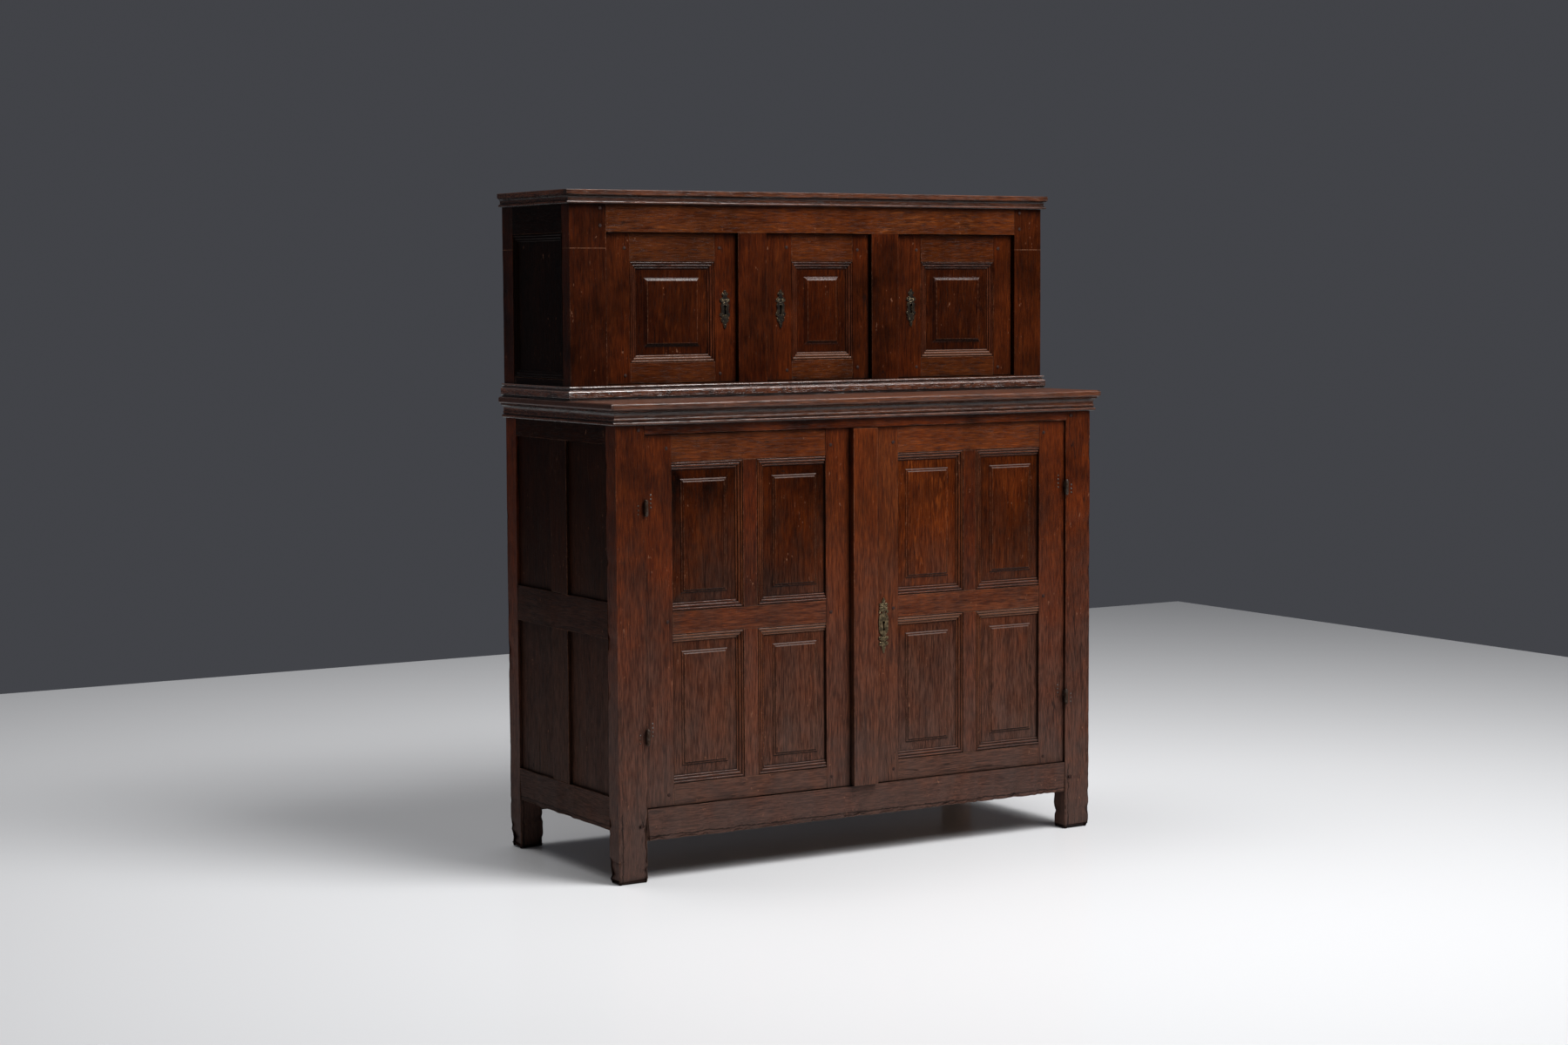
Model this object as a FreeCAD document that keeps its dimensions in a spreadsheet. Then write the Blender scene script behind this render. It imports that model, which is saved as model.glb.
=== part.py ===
"""Court cupboard: a two-stage oak case, panelled doors below and three small doors above.

Millimetres, +Z up, the front faces -Y and the origin is on the floor below the middle of the
case's bounding box. Every piece of timber and ironwork is a solid of its own.
"""
import FreeCAD, Part
import os
import re

import Sketcher

Vector = FreeCAD.Vector
Rotation = FreeCAD.Rotation

# Driving sizes
SIZES = {
    # Whole case
    "case_width": 1265,
    "case_depth": 534,
    "waist_height": 1040,
    "upper_stage_height": 460,
    "upper_width": 1270,
    "upper_depth": 334,
    # Frame timbers of the lower stage
    "post_width": 70,
    "post_depth": 44,
    "rear_post_width": 58,
    "rear_post_depth": 50,
    "frame_thickness": 26,
    "leg_height": 90,
    "front_sill_height": 70,
    "frieze_height": 53,
    "side_leg_height": 114,
    "side_bottom_height": 74,
    "side_mid_bottom": 531,
    "side_mid_height": 80,
    "side_top_height": 73,
    "side_muntin_width": 78,
    "side_muntin_shift": 9,
    "side_panel_sink": 7,
    "side_panel_thickness": 9,
    # Joints between timbers
    "groove_depth": 8,
    "tenon_length": 28,
    "muntin_tenon": 16,
    "tenon_thickness": 8,
    "tenon_setback": 8,
    "peg_radius": 3.5,
    "peg_length": 22,
    "peg_proud": 1,
    "peg_inset": 14,
    # Floor, shelf and back
    "floor_thickness": 16,
    "shelf_height": 562,
    "shelf_thickness": 18,
    "shelf_setback": 52,
    "bearer_height": 30,
    "bearer_width": 24,
    "back_rail_height": 80,
    "back_rail_thickness": 22,
    "back_board_thickness": 12,
    # Waist boards and their cornice
    "waist_board_thickness": 15,
    "nosing_overhang": 18,
    "nosing_round": 5.5,
    "waist_cornice_height": 33,
    "waist_cornice_reach": 11.5,
    # Frame timbers of the upper stage
    "upper_left_post_width": 90,
    "upper_right_post_width": 77,
    "upper_post_depth": 36,
    "upper_rear_post_width": 46,
    "upper_rear_post_depth": 52,
    "upper_frame_thickness": 24,
    "upper_sill_height": 32,
    "upper_head_height": 80,
    "left_opening_width": 336,
    "left_muntin_width": 75,
    "middle_opening_width": 284,
    "right_muntin_width": 74,
    "upper_side_bottom_height": 46,
    "upper_side_top_height": 82,
    "upper_panel_sink": 7,
    "partition_thickness": 14,
    "roof_thickness": 12,
    "upper_floor_drop": 3,
    # Mouldings of the upper stage
    "base_moulding_height": 30,
    "base_moulding_reach": 9,
    "top_cornice_height": 31,
    "top_cornice_reach": 12,
    # Lower doors
    "door_recess": 6,
    "door_thickness": 21,
    "door_gap": 1.5,
    "meeting_gap": 2,
    "meeting_edge": -36.5,
    "hanging_stile": 68,
    "left_meeting_stile": 62,
    "right_meeting_stile": 129,
    "right_hanging_stile": 72,
    "door_top_rail": 60,
    "door_mid_bottom": 536,
    "door_mid_rail": 50,
    "door_bottom_rail": 47,
    "door_muntin": 36,
    "door_panel_sink": 6,
    "door_panel_tongue": 6,
    "margin_rise": 1.6,
    "field_step_rise": 1.9,
    "field_step_bevel": 2.2,
    "field_step_width": 4.8,
    "door_moulding_width": 17.5,
    "door_side_margin": 22.5,
    "door_end_margin": 20.5,
    "strip_width": 64,
    "strip_thickness": 16,
    # Upper doors
    "upper_recess": 10,
    "upper_door_thickness": 20,
    "upper_top_rail": 63,
    "upper_bottom_rail": 46,
    "left_door_hinge_stile": 62,
    "left_door_lock_stile": 55,
    "middle_door_hinge_stile": 45,
    "middle_door_lock_stile": 70,
    "right_door_hinge_stile": 53,
    "right_door_lock_stile": 69,
    "upper_door_sink": 5.5,
    "upper_field_rise": 5,
    "upper_field_bevel": 8,
    "upper_moulding_width": 16.5,
    "upper_side_margin": 20,
    "upper_end_margin": 18,
    # Hinges of the lower doors
    "hinge_low": 318,
    "hinge_high": 814,
    "knuckle_radius": 4.5,
    "knuckle_height": 15,
    "knuckle_gap": 0.2,
    "knuckle_proud": 5,
    "hinge_pin_radius": 2.2,
    "hinge_pin_reach": 11,
    "leaf_thickness": 1.8,
    "leaf_depth": 22,
    "turning_clearance": 0.05,
    # Pivots of the upper doors
    "pivot_inset": 6,
    "pivot_radius": 3,
    "pivot_seat": 18,
    "pivot_reach": 9,
    "pivot_edge_round": 4,
    # Locks
    "lock_thickness": 12,
    "lock_wall": 1.5,
    "bolt_thickness": 5,
    "bolt_height": 12,
    "bolt_rise": 7,
    "bolt_setback": 0.5,
    "bolt_clearance": 0.3,
    "keeper_clearance": 1,
    "keeper_depth": 13,
    "lower_lock_width": 98,
    "lower_lock_height": 54,
    "lower_bolt_length": 60,
    "lower_keyhole_height": 520,
    "lower_keyhole_inset": 89,
    "upper_lock_width": 44,
    "upper_lock_height": 52,
    "upper_bolt_length": 30,
    "upper_keyhole_rise": 164,
    "upper_keyhole_inset": 29,
    "wide_lock_width": 56,
    "wide_keyhole_inset": 40,
    "keyhole_radius": 4.2,
    "keyhole_slot_width": 4.8,
    "keyhole_slot_height": 20,
    "keyhole_lift": 7,
    # Escutcheons
    "plate_thickness": 1.5,
    "lower_plate_width": 25,
    "lower_plate_height": 125,
    "upper_plate_width": 27.5,
    "upper_plate_height": 86,
    # Flat bolt behind the left door
    "flat_bolt_width": 16,
    "flat_bolt_thickness": 5,
    "flat_bolt_length": 120,
    "flat_bolt_inset": 30,
    "flat_bolt_drop": 9,
    "flat_bolt_lift": 1,
    "staple_height": 10,
    "high_staple_drop": 30,
    "low_staple_rise": 20,
    "staple_wall": 2.5,
    "staple_clearance": 0.4,
    "cut_overrun": 5,
}

# Places that follow from the sizes
PLACES = {
    "front": "(nosing_overhang - case_depth) / 2",
    "back": "(nosing_overhang + case_depth) / 2",
    "half": "case_width / 2",
    "total_height": "waist_height + upper_stage_height",
    "board_under": "waist_height - waist_board_thickness",
    "sill_top": "leg_height + front_sill_height",
    "frieze_bottom": "board_under - frieze_height",
    "side_top_bottom": "board_under - side_top_height",
    "opening_left": "post_width - half",
    "opening_right": "half - post_width",
    "inner_front": "front + post_depth",
    "inner_back": "back - rear_post_depth",
    "upper_half": "upper_width / 2",
    "upper_front": "back - upper_depth",
    "upper_inner_front": "upper_front + upper_post_depth",
    "upper_inner_back": "back - upper_rear_post_depth",
    "roof_under": "total_height - roof_thickness",
    "upper_sill_top": "waist_height + upper_sill_height",
    "upper_opening_top": "roof_under - upper_head_height",
    "upper_side_bottom": "waist_height + upper_side_bottom_height",
    "upper_side_top": "roof_under - upper_side_top_height",
    "upper_keyhole_height": "upper_sill_top + upper_keyhole_rise",
    "left_opening": "upper_left_post_width - upper_half",
    "left_muntin": "left_opening + left_opening_width",
    "middle_opening": "left_muntin + left_muntin_width",
    "right_muntin": "middle_opening + middle_opening_width",
    "right_opening": "right_muntin + right_muntin_width",
    "right_post": "upper_half - upper_right_post_width",
    "door_face": "front + door_recess",
    "door_rear": "door_face + door_thickness",
    "door_low": "sill_top + door_gap",
    "door_high": "frieze_bottom - door_gap",
    "upper_face": "upper_front + upper_recess",
    "upper_rear": "upper_face + upper_door_thickness",
    "upper_low": "upper_sill_top + door_gap",
    "upper_high": "upper_opening_top - door_gap",
    "upper_floor_top": "upper_sill_top - upper_floor_drop",
    "hinge_axis": "front - knuckle_proud",
}

# Shapes given as shares of the reach and rise, or width and height, that they follow;
# a third share is how far an arc from the point before bulges, as a share of its chord
WAIST_CORNICE_SHARES = (
    (0, 0), (0.48, 0), (0.56, 0.24, -0.42), (0.44, 0.24), (0.44, 0.31), (0.54, 0.31), (0.54, 0.4),
    (0.92, 0.88, 0.2), (1, 0.88), (1, 1), (0, 1),
)
BASE_MOULDING_SHARES = (
    (0, 0), (0.7, 0), (0.7, 0.1), (1, 0.26, -0.2), (1, 0.5), (0.8, 0.66, -0.2), (0.5, 0.72), (0.5, 0.8),
    (0.72, 0.88), (0.6, 1, -0.25), (0, 1),
)
TOP_CORNICE_SHARES = (
    (0, 0), (0.5, 0), (0.58, 0.2, -0.42), (0.42, 0.24), (0.42, 0.32), (0.78, 0.58, 0.18), (0.78, 0.64),
    (1, 0.64), (1, 0.94), (0.94, 1, -0.2), (0, 1),
)
DOOR_MOULDING_SHARES = (
    (0, 0), (0, 0.66), (0.06, 0.66), (0.32, 0.66, 0.35), (0.32, 0.54), (0.4, 0.54), (0.72, 0.34, 0.28),
    (0.72, 0.22), (0.78, 0.22), (1, 0.1, 0.25), (1, 0),
)
LOWER_PLATE_SHARES = (
    (0, 0.5), (0.1, 0.42, 0.1), (0.16, 0.28, 0.4), (0.2, 0.25), (0.2, 0.14, 0.4), (0.24, 0.13),
    (0.24, -0.14, 0.19), (0.18, -0.155), (0.18, -0.26, 0.4), (0.14, -0.28), (0.1, -0.42, 0.4), (0, -0.5, 0.1),
)
UPPER_PLATE_SHARES = (
    (0, 0.5), (0.16, 0.41, 0.3), (0.2, 0.29, 0.3), (0.28, 0.27), (0.28, 0.13, 0.4), (0.26, 0.08),
    (0.26, 0, -0.1), (0.28, -0.03), (0.22, -0.2, 0.4), (0.16, -0.24), (0.14, -0.38, 0.4), (0.08, -0.41),
    (0, -0.5, 0.12),
)
BEAD_SHARE = 0.8
LEAF_SHARE = 0.9

# Counts
FLOOR_BOARDS = 6
SHELF_BOARDS = 2
BACK_BOARDS = 6
WAIST_BOARDS = 3
UPPER_FLOOR_BOARDS = 5
ROOF_BOARDS = 2

doc = FreeCAD.newDocument("CourtCupboard")
sheet = doc.addObject("Spreadsheet::Sheet", "Sizes")
for row, (alias, number) in enumerate(SIZES.items(), start=1):
    sheet.set(f"A{row}", alias)
    sheet.set(f"B{row}", str(number))
    sheet.setAlias(f"B{row}", alias)
doc.recompute()

NODES = []
WORD = re.compile(r"[a-z][a-z_]+")


def formula(text):
    """Spell a formula in named sizes and places out for the sheet."""
    def spell(match):
        word = match.group()
        if word in PLACES:
            return "(" + formula(PLACES[word]) + ")"
        return "Sizes." + word if word in SIZES else word
    return WORD.sub(spell, str(text))


def value(text):
    """The number that a formula gives now."""
    return float(sheet.evalExpression(formula(text)))


def bind(thing, **formulas):
    """Tie properties of an object to formulas."""
    for name, text in formulas.items():
        thing.setExpression(name, formula(text))
    return thing


def place(thing, x, y, z, rotation=None):
    """Put an object at a place given by formulas."""
    if rotation is not None:
        thing.Placement = FreeCAD.Placement(Vector(), rotation)
    for axis, text in zip("xyz", (x, y, z)):
        thing.setExpression("Placement.Base." + axis, formula(text))
    return thing


def block(name, x, y, z):
    """A squared timber or plate between two formulas along each axis."""
    piece = doc.addObject("Part::Box", name)
    bind(piece, Length=f"({x[1]}) - ({x[0]})", Width=f"({y[1]}) - ({y[0]})",
         Height=f"({z[1]}) - ({z[0]})")
    return place(piece, x[0], y[0], z[0])


def pin(name, x, y, z, radius, along="z"):
    """A round pin between two formulas along one axis."""
    piece = doc.addObject("Part::Cylinder", name)
    ranges = {"x": x, "y": y, "z": z}
    low, high = ranges[along]
    bind(piece, Radius=radius, Height=f"({high}) - ({low})")
    turns = {"x": Rotation(Vector(0, 1, 0), 90), "y": Rotation(Vector(1, 0, 0), -90), "z": Rotation()}
    base = [low if axis == along else ranges[axis] for axis in "xyz"]
    return place(piece, *base, turns[along])


def group(name, pieces):
    """Several separate solids held as one object."""
    if len(pieces) == 1:
        return pieces[0]
    bundle = doc.addObject("Part::Compound", name)
    bundle.Links = pieces
    return bundle


def join(name, pieces):
    """Pieces made of one stock, fused into a single solid."""
    solid = doc.addObject("Part::MultiFuse", name)
    solid.Shapes = pieces
    solid.Refine = False
    return solid


def cut(name, base, *tools):
    """A piece with the given tools taken out of it, one group after another."""
    for number, tool in enumerate(tools):
        if isinstance(tool, list):
            tool = group(f"{name}_tools_{number}", tool)
        result = doc.addObject("Part::Cut", f"{name}_cut_{number}")
        result.Base = base
        result.Tool = tool
        result.Refine = False
        base = result
    return base


def node(label, *pieces):
    """Name the finished sub-part; like pieces share it as separate solids."""
    finished = pieces[0]
    if len(pieces) > 1:
        finished = doc.addObject("Part::Compound", label)
        finished.Links = list(pieces)
    finished.Label = label
    NODES.append(finished)
    return finished


def side_range(side, low, high, half_width="half"):
    """The X range between two depths measured inward from a side face."""
    if side < 0:
        return f"({low}) - {half_width}", f"({high}) - {half_width}"
    return f"{half_width} - ({high})", f"{half_width} - ({low})"


def tenoned(name, x, y, z, along, thin, face, length="tenon_length"):
    """A rail or muntin and the tenon that runs out of both its ends."""
    ranges = {"x": x, "y": y, "z": z}
    body = block(name + "_bar", x, y, z)
    tongue = {}
    for axis, (low, high) in ranges.items():
        if axis == along:
            tongue[axis] = (f"({low}) - {length}", f"({high}) + {length}")
        elif axis == thin and face == "low":
            tongue[axis] = (f"({low}) + tenon_setback", f"({low}) + tenon_setback + tenon_thickness")
        elif axis == thin:
            tongue[axis] = (f"({high}) - tenon_setback - tenon_thickness", f"({high}) - tenon_setback")
        else:
            tongue[axis] = (f"({low}) + groove_depth", f"({high}) - groove_depth")
    tenon = block(name + "_tenon", tongue["x"], tongue["y"], tongue["z"])
    return join(name, [body, tenon]), tenon


def outline(name, points, across, up, rotation):
    """A closed sketch through points given as shares of two sizes, with arcs where asked."""
    sketch = doc.addObject("Sketcher::SketchObject", name)
    sketch.Placement = FreeCAD.Placement(Vector(), rotation)
    spots = [(f"{point[0]} * {across}", f"{point[1]} * {up}") for point in points]
    numbers = [Vector(value(u), value(v), 0) for u, v in spots]
    curves, ends, radii = [], [], {}
    for index, start in enumerate(numbers):
        after = (index + 1) % len(points)
        end = numbers[after]
        bulge = points[after][2] if len(points[after]) > 2 else 0
        if not bulge:
            curves.append(Part.LineSegment(start, end))
            ends.append((1, 2))
            continue
        (u0, v0), (u1, v1) = spots[index], spots[after]
        ratio = 1 / (8 * abs(bulge)) + abs(bulge) / 2
        radii[index] = f"sqrt(({u1} - {u0})^2 + ({v1} - {v0})^2) * {ratio}"
        chord = end - start
        normal = Vector(-chord.y, chord.x, 0)
        apex = (start + end) / 2 + normal * bulge
        arc = Part.Arc(start, apex, end)
        turned = bulge > 0
        curves.append(arc)
        ends.append((2, 1) if turned else (1, 2))
    sketch.addGeometry(curves, False)
    constraints = []
    formulas = []
    for index, (start_end, (u, v)) in enumerate(zip(ends, spots)):
        after = (index + 1) % len(points)
        constraints.append(Sketcher.Constraint("Coincident", index, start_end[1], after, ends[after][0]))
        for kind, text in (("DistanceX", u), ("DistanceY", v)):
            formulas.append((len(constraints), text))
            constraints.append(Sketcher.Constraint(kind, index, start_end[0], value(text)))
        if index in radii:
            formulas.append((len(constraints), radii[index]))
            constraints.append(Sketcher.Constraint("Radius", index, value(radii[index])))
    sketch.addConstraint(constraints)
    for number, text in formulas:
        sketch.setExpression(f"Constraints[{number}]", formula(text))
    return sketch


SECTION_TURN = Rotation(Vector(1, 1, 1), 120)


def section(name, shares, reach, rise):
    """The section of a moulding: its reach along local Y and its rise along local Z."""
    return {"sketch": outline(name, shares, reach, rise, SECTION_TURN), "reach": reach, "rise": rise}


MITRE_TURNS = {"in_start": 45, "in_end": 45, "out_start": 135, "out_end": -45}


def moulding(name, profile, run, ends, base, rotation):
    """One length of moulding, mitred inward or outward, or cut square, at each end."""
    bar = doc.addObject("Part::Extrusion", name + "_bar")
    bar.Base = profile["sketch"]
    bar.DirMode = "Custom"
    bar.Dir = Vector(1, 0, 0)
    bar.Solid = True
    reach, rise = profile["reach"], profile["rise"]
    bind(bar, LengthFwd=f"({run}) + {reach}" if ends[1] == "out" else run,
         LengthRev=reach if ends[0] == "out" else 0)
    saws = []
    for which, kind in zip(("start", "end"), ends):
        if kind == "square":
            continue
        saw = doc.addObject("Part::Box", f"{name}_mitre_{which}")
        bind(saw, Length=f"2 * {reach}", Width=f"2 * {reach}", Height=f"2 * {rise}")
        turn = Rotation(Vector(0, 0, 1), MITRE_TURNS[f"{kind}_{which}"])
        saws.append(place(saw, 0 if which == "start" else run, 0, f"-{rise} / 2", turn))
    piece = cut(name, bar, saws)
    return place(piece, *base, rotation)


def cornice(name, profile, half_width, front_face, low):
    """Front and side lengths of a moulding that runs round a case, mitred at its front corners."""
    depth = f"back - {front_face}"
    turn = lambda angle: Rotation(Vector(0, 0, 1), angle)
    return [
        moulding(name + "_front", profile, f"2 * {half_width}", ("out", "out"),
                 (half_width, front_face, low), turn(180)),
        moulding(name + "_left", profile, depth, ("out", "square"),
                 (f"-{half_width}", front_face, low), turn(90)),
        moulding(name + "_right", profile, depth, ("square", "out"),
                 (half_width, "back", low), turn(-90)),
    ]


def surround(name, profile, u, plane, z, sides, facing="front"):
    """Mitred lengths round the inside of a panel opening, seen from the side that it faces."""
    lay = Rotation(Vector(1, 0, 0), 90)
    face_turn = {"front": 0, "left": -90, "right": 90}[facing]
    spans = {"bottom": (u[0], z[0], "u", 0), "left": (u[0], z[1], "z", 90),
             "top": (u[1], z[1], "u", 180), "right": (u[1], z[0], "z", 270)}
    lengths = {"z": f"({z[1]}) - ({z[0]})", "u": f"({u[1]}) - ({u[0]})"}
    if facing == "left":
        lengths["u"] = f"({u[0]}) - ({u[1]})"
    pieces = []
    for side, ends in sides.items():
        along, height, direction, angle = spans[side]
        base = (along, plane, height) if facing == "front" else (plane, along, height)
        rotation = Rotation(Vector(0, 0, 1), face_turn) * Rotation(Vector(0, 1, 0), angle) * lay
        pieces.append(moulding(f"{name}_{side}", profile, lengths[direction], ends, base, rotation))
    return pieces


def raised_layer(name, x, z, plane, foot, crown, low, high):
    """A layer on a panel's front whose four sides slope from its foot in to its crown.

    foot and crown are distances from the opening x and z: left, right, end. Heights are from the plane.
    """
    layer = doc.addObject("Part::Wedge", name)
    left, right, end = foot
    span = f"(({x[1]}) - ({x[0]}) - ({left}) - ({right}))"
    height = f"(({z[1]}) - ({z[0]}) - 2 * ({end}))"
    bind(layer, Xmin=0, Xmax=span, Ymin=0, Ymax=f"({high}) - ({low})", Zmin=0, Zmax=height,
         X2min=f"({crown[1]}) - ({right})", X2max=f"{span} - (({crown[0]}) - ({left}))",
         Z2min=f"({crown[2]}) - ({end})", Z2max=f"{height} - (({crown[2]}) - ({end}))")
    turned = Rotation(Vector(0, 0, 1), 180)
    return place(layer, f"({x[1]}) - ({right})", f"{plane} - ({low})", f"({z[0]}) + ({end})", turned)


def inset(edges, distance):
    """Edges moved further in by one distance."""
    return tuple(f"{edge} + {distance}" for edge in edges)


def stepped_field(moulded, margins):
    """Layers of a lower door's panel: a sloping margin, then a field with two small steps."""
    field = tuple(f"{edge} + {margin}" for edge, margin in zip(moulded, margins))
    second = inset(field, "field_step_width")
    first_step = "margin_rise + field_step_rise"
    return [(moulded, field, "0", "margin_rise"),
            (field, inset(field, "field_step_bevel"), "margin_rise", first_step),
            (second, inset(second, "field_step_bevel"), first_step, f"{first_step} + field_step_rise")]


def bevelled_field(moulded, margins):
    """The one layer of an upper door's panel: a field with a wide bevel in a flat margin."""
    field = tuple(f"{edge} + {margin}" for edge, margin in zip(moulded, margins))
    return [(field, inset(field, "upper_field_bevel"), "0", "upper_field_rise")]


def fielded_panel(name, x, z, plane, layers, tongue):
    """A panel with tongues in its frame's grooves and the given layers raised on its front."""
    plate = block(name + "_plate", (f"({x[0]}) - groove_depth", f"({x[1]}) + groove_depth"),
                  (plane, f"{plane} + {tongue}"),
                  (f"({z[0]}) - groove_depth", f"({z[1]}) + groove_depth"))
    raised = [raised_layer(f"{name}_layer_{number}", x, z, plane, *layer)
              for number, layer in enumerate(layers)]
    return join(name, [plate] + raised), plate


def peg(name, x, y, z, along, face):
    """A joint peg driven in from a face, its head left a little proud."""
    ranges = {"x": x, "y": y, "z": z}
    spot = ranges[along]
    if face == "low":
        ranges[along] = (f"({spot}) - peg_proud", f"({spot}) - peg_proud + peg_length")
    else:
        ranges[along] = (f"({spot}) + peg_proud - peg_length", f"({spot}) + peg_proud")
    return pin(name, ranges["x"], ranges["y"], ranges["z"], "peg_radius", along)


# Joint pegs of the case, kept until every timber that they go through is cut
pegs = []

# Front rails of the lower stage
front_face = ("front", "front + frame_thickness")
opening = ("opening_left", "opening_right")
frieze, frieze_tenon = tenoned("frieze", opening, front_face, ("frieze_bottom", "board_under"),
                               "x", "y", "low")
sill, sill_tenon = tenoned("sill", opening, front_face, ("leg_height", "sill_top"), "x", "y", "low")
front_pegs = []
for side, tag in ((-1, "left"), (1, "right")):
    peg_x = f"{side} * (half - post_width + peg_inset)"
    for row_name, height in (("frieze", "(frieze_bottom + board_under - waist_cornice_height) / 2"),
                             ("sill", "(leg_height + sill_top) / 2")):
        front_pegs.append(peg(f"{row_name}_{tag}_peg", peg_x, "front", height, "y", "low"))

# Rails of the back
lower_rear_face = ("back - back_rail_thickness", "back")
rear_span = ("rear_post_width - half", "half - rear_post_width")
back_bottom, back_bottom_tenon = tenoned(
    "back_bottom", rear_span, lower_rear_face,
    ("sill_top - back_rail_height", "sill_top"), "x", "y", "high")
back_top, back_top_tenon = tenoned(
    "back_top", rear_span, lower_rear_face,
    ("board_under - back_rail_height", "board_under"), "x", "y", "high")

# Panelled sides of the lower stage
side_levels = (
    ("bottom", "side_leg_height", "side_leg_height + side_bottom_height"),
    ("mid", "side_mid_bottom", "side_mid_bottom + side_mid_height"),
    ("top", "side_top_bottom", "board_under"),
)
muntin_middle = "(inner_front + inner_back) / 2 + side_muntin_shift"
muntin_span = (f"{muntin_middle} - side_muntin_width / 2", f"{muntin_middle} + side_muntin_width / 2")
side_rails, side_muntins, side_panels = [], [], []
side_tenons = {-1: [], 1: []}
side_plates = {-1: [], 1: []}
for side, tag in ((-1, "left"), (1, "right")):
    face = "low" if side < 0 else "high"
    thick = side_range(side, 0, "frame_thickness")
    rails = {}
    for level, low, high in side_levels:
        rails[level] = tenoned(f"{tag}_{level}_rail", thick, ("inner_front", "inner_back"), (low, high),
                               "y", "x", face)
        side_tenons[side].append(rails[level][1])
    muntin_tenons = {}
    for storey, low, high in (("low", side_levels[0][2], side_levels[1][1]),
                              ("high", side_levels[1][2], side_levels[2][1])):
        muntin, muntin_tenon = tenoned(f"{tag}_{storey}_muntin", thick, muntin_span, (low, high),
                                       "z", "x", face, "muntin_tenon")
        muntin_tenons[storey] = muntin_tenon
        plates = []
        for bay, near, far in (("front", "inner_front", muntin_span[0]),
                               ("rear", muntin_span[1], "inner_back")):
            plate = block(f"{tag}_{storey}_{bay}_panel",
                          side_range(side, "side_panel_sink", "side_panel_sink + side_panel_thickness"),
                          (f"({near}) - groove_depth", f"({far}) + groove_depth"),
                          (f"({low}) - groove_depth", f"({high}) + groove_depth"))
            plates.append(plate)
        side_plates[side] += plates
        side_muntins.append(cut(f"{tag}_{storey}_muntin", muntin, plates))
        side_panels += plates
    side_rail_tools = {
        "bottom": side_plates[side][:2] + [muntin_tenons["low"]],
        "mid": side_plates[side] + list(muntin_tenons.values()),
        "top": side_plates[side][2:] + [muntin_tenons["high"]],
    }
    for level, (rail, tenon) in rails.items():
        side_rails.append(cut(f"{tag}_{level}_rail", rail, side_rail_tools[level]))

# Posts of the lower stage, mortised and grooved
lower_posts = []
hinge_spots = (("low", "hinge_low"), ("high", "hinge_high"))
post_leaves = {-1: [], 1: []}
for side, tag in ((-1, "left"), (1, "right")):
    for height_name, height in hinge_spots:
        edge = f"{side} * (half - post_width)"
        leaf_x = ((f"{edge} - leaf_thickness", edge) if side < 0
                  else (edge, f"{edge} + leaf_thickness"))
        post_leaves[side].append(block(f"{tag}_{height_name}_post_leaf", leaf_x,
                                       ("hinge_axis", "hinge_axis + leaf_depth"),
                                       (f"{height} - knuckle_height * {LEAF_SHARE}",
                                        f"{height} - knuckle_gap / 2")))
    front_post = block(f"{tag}_front_post", side_range(side, 0, "post_width"),
                       ("front", "inner_front"), (0, "board_under"))
    rear_post = block(f"{tag}_rear_post", side_range(side, 0, "rear_post_width"),
                      ("inner_back", "back"), (0, "board_under"))
    side_pegs = [thing for thing in front_pegs if f"_{tag}_" in thing.Name]
    front_plates, rear_plates = side_plates[side][0::2], side_plates[side][1::2]
    lower_posts.append(cut(f"{tag}_front_post", front_post, side_tenons[side] + front_plates,
                           [frieze_tenon, sill_tenon], side_pegs, post_leaves[side]))
    lower_posts.append(cut(f"{tag}_rear_post", rear_post, side_tenons[side] + rear_plates,
                           [back_bottom_tenon, back_top_tenon]))
node("lower_posts", *lower_posts)
node("lower_side_frames", *side_rails, *side_muntins)
node("lower_side_panels", *side_panels)

# Floor boards, let into the front sill and the back's bottom rail
floor_span = ("frame_thickness - half", "half - frame_thickness")
floor_boards = []
for number in range(FLOOR_BOARDS):
    width = f"({floor_span[1]} - ({floor_span[0]})) / {FLOOR_BOARDS}"
    board = block(f"floor_board_{number}",
                  (f"({floor_span[0]}) + {width} * {number}", f"({floor_span[0]}) + {width} * {number + 1}"),
                  ("front + frame_thickness - groove_depth", "back - back_rail_thickness + groove_depth"),
                  ("sill_top - floor_thickness - groove_depth", "sill_top - groove_depth"))
    floor_boards.append(board)
cut_floor = list(floor_boards)
for number in (0, FLOOR_BOARDS - 1):
    tag, side = ("left", -1) if number == 0 else ("right", 1)
    notches = [block(f"{tag}_{end}_notch", side_range(side, 0, width), y, (0, "board_under"))
               for end, width, y in (("front", "post_width", ("front", "inner_front")),
                                     ("rear", "rear_post_width", ("inner_back", "back")))]
    cut_floor[number] = cut(f"floor_board_{number}", floor_boards[number], notches)
node("lower_floor_boards", *cut_floor)
floor_bundle = group("floor_bundle", floor_boards)
node("lower_front_rails", cut("frieze", frieze, front_pegs[0::2]),
     cut("sill", sill, [front_pegs[1], front_pegs[3]], floor_bundle))

# Back boards stand on the floor and are nailed to the inner faces of the back's rails
back_span = rear_span
back_boards = []
for number in range(BACK_BOARDS):
    width = f"({back_span[1]} - ({back_span[0]})) / {BACK_BOARDS}"
    back_boards.append(block(
        f"back_board_{number}",
        (f"({back_span[0]}) + {width} * {number}", f"({back_span[0]}) + {width} * {number + 1}"),
        ("back - back_rail_thickness - back_board_thickness", "back - back_rail_thickness"),
        ("sill_top - groove_depth", "board_under")))
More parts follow.
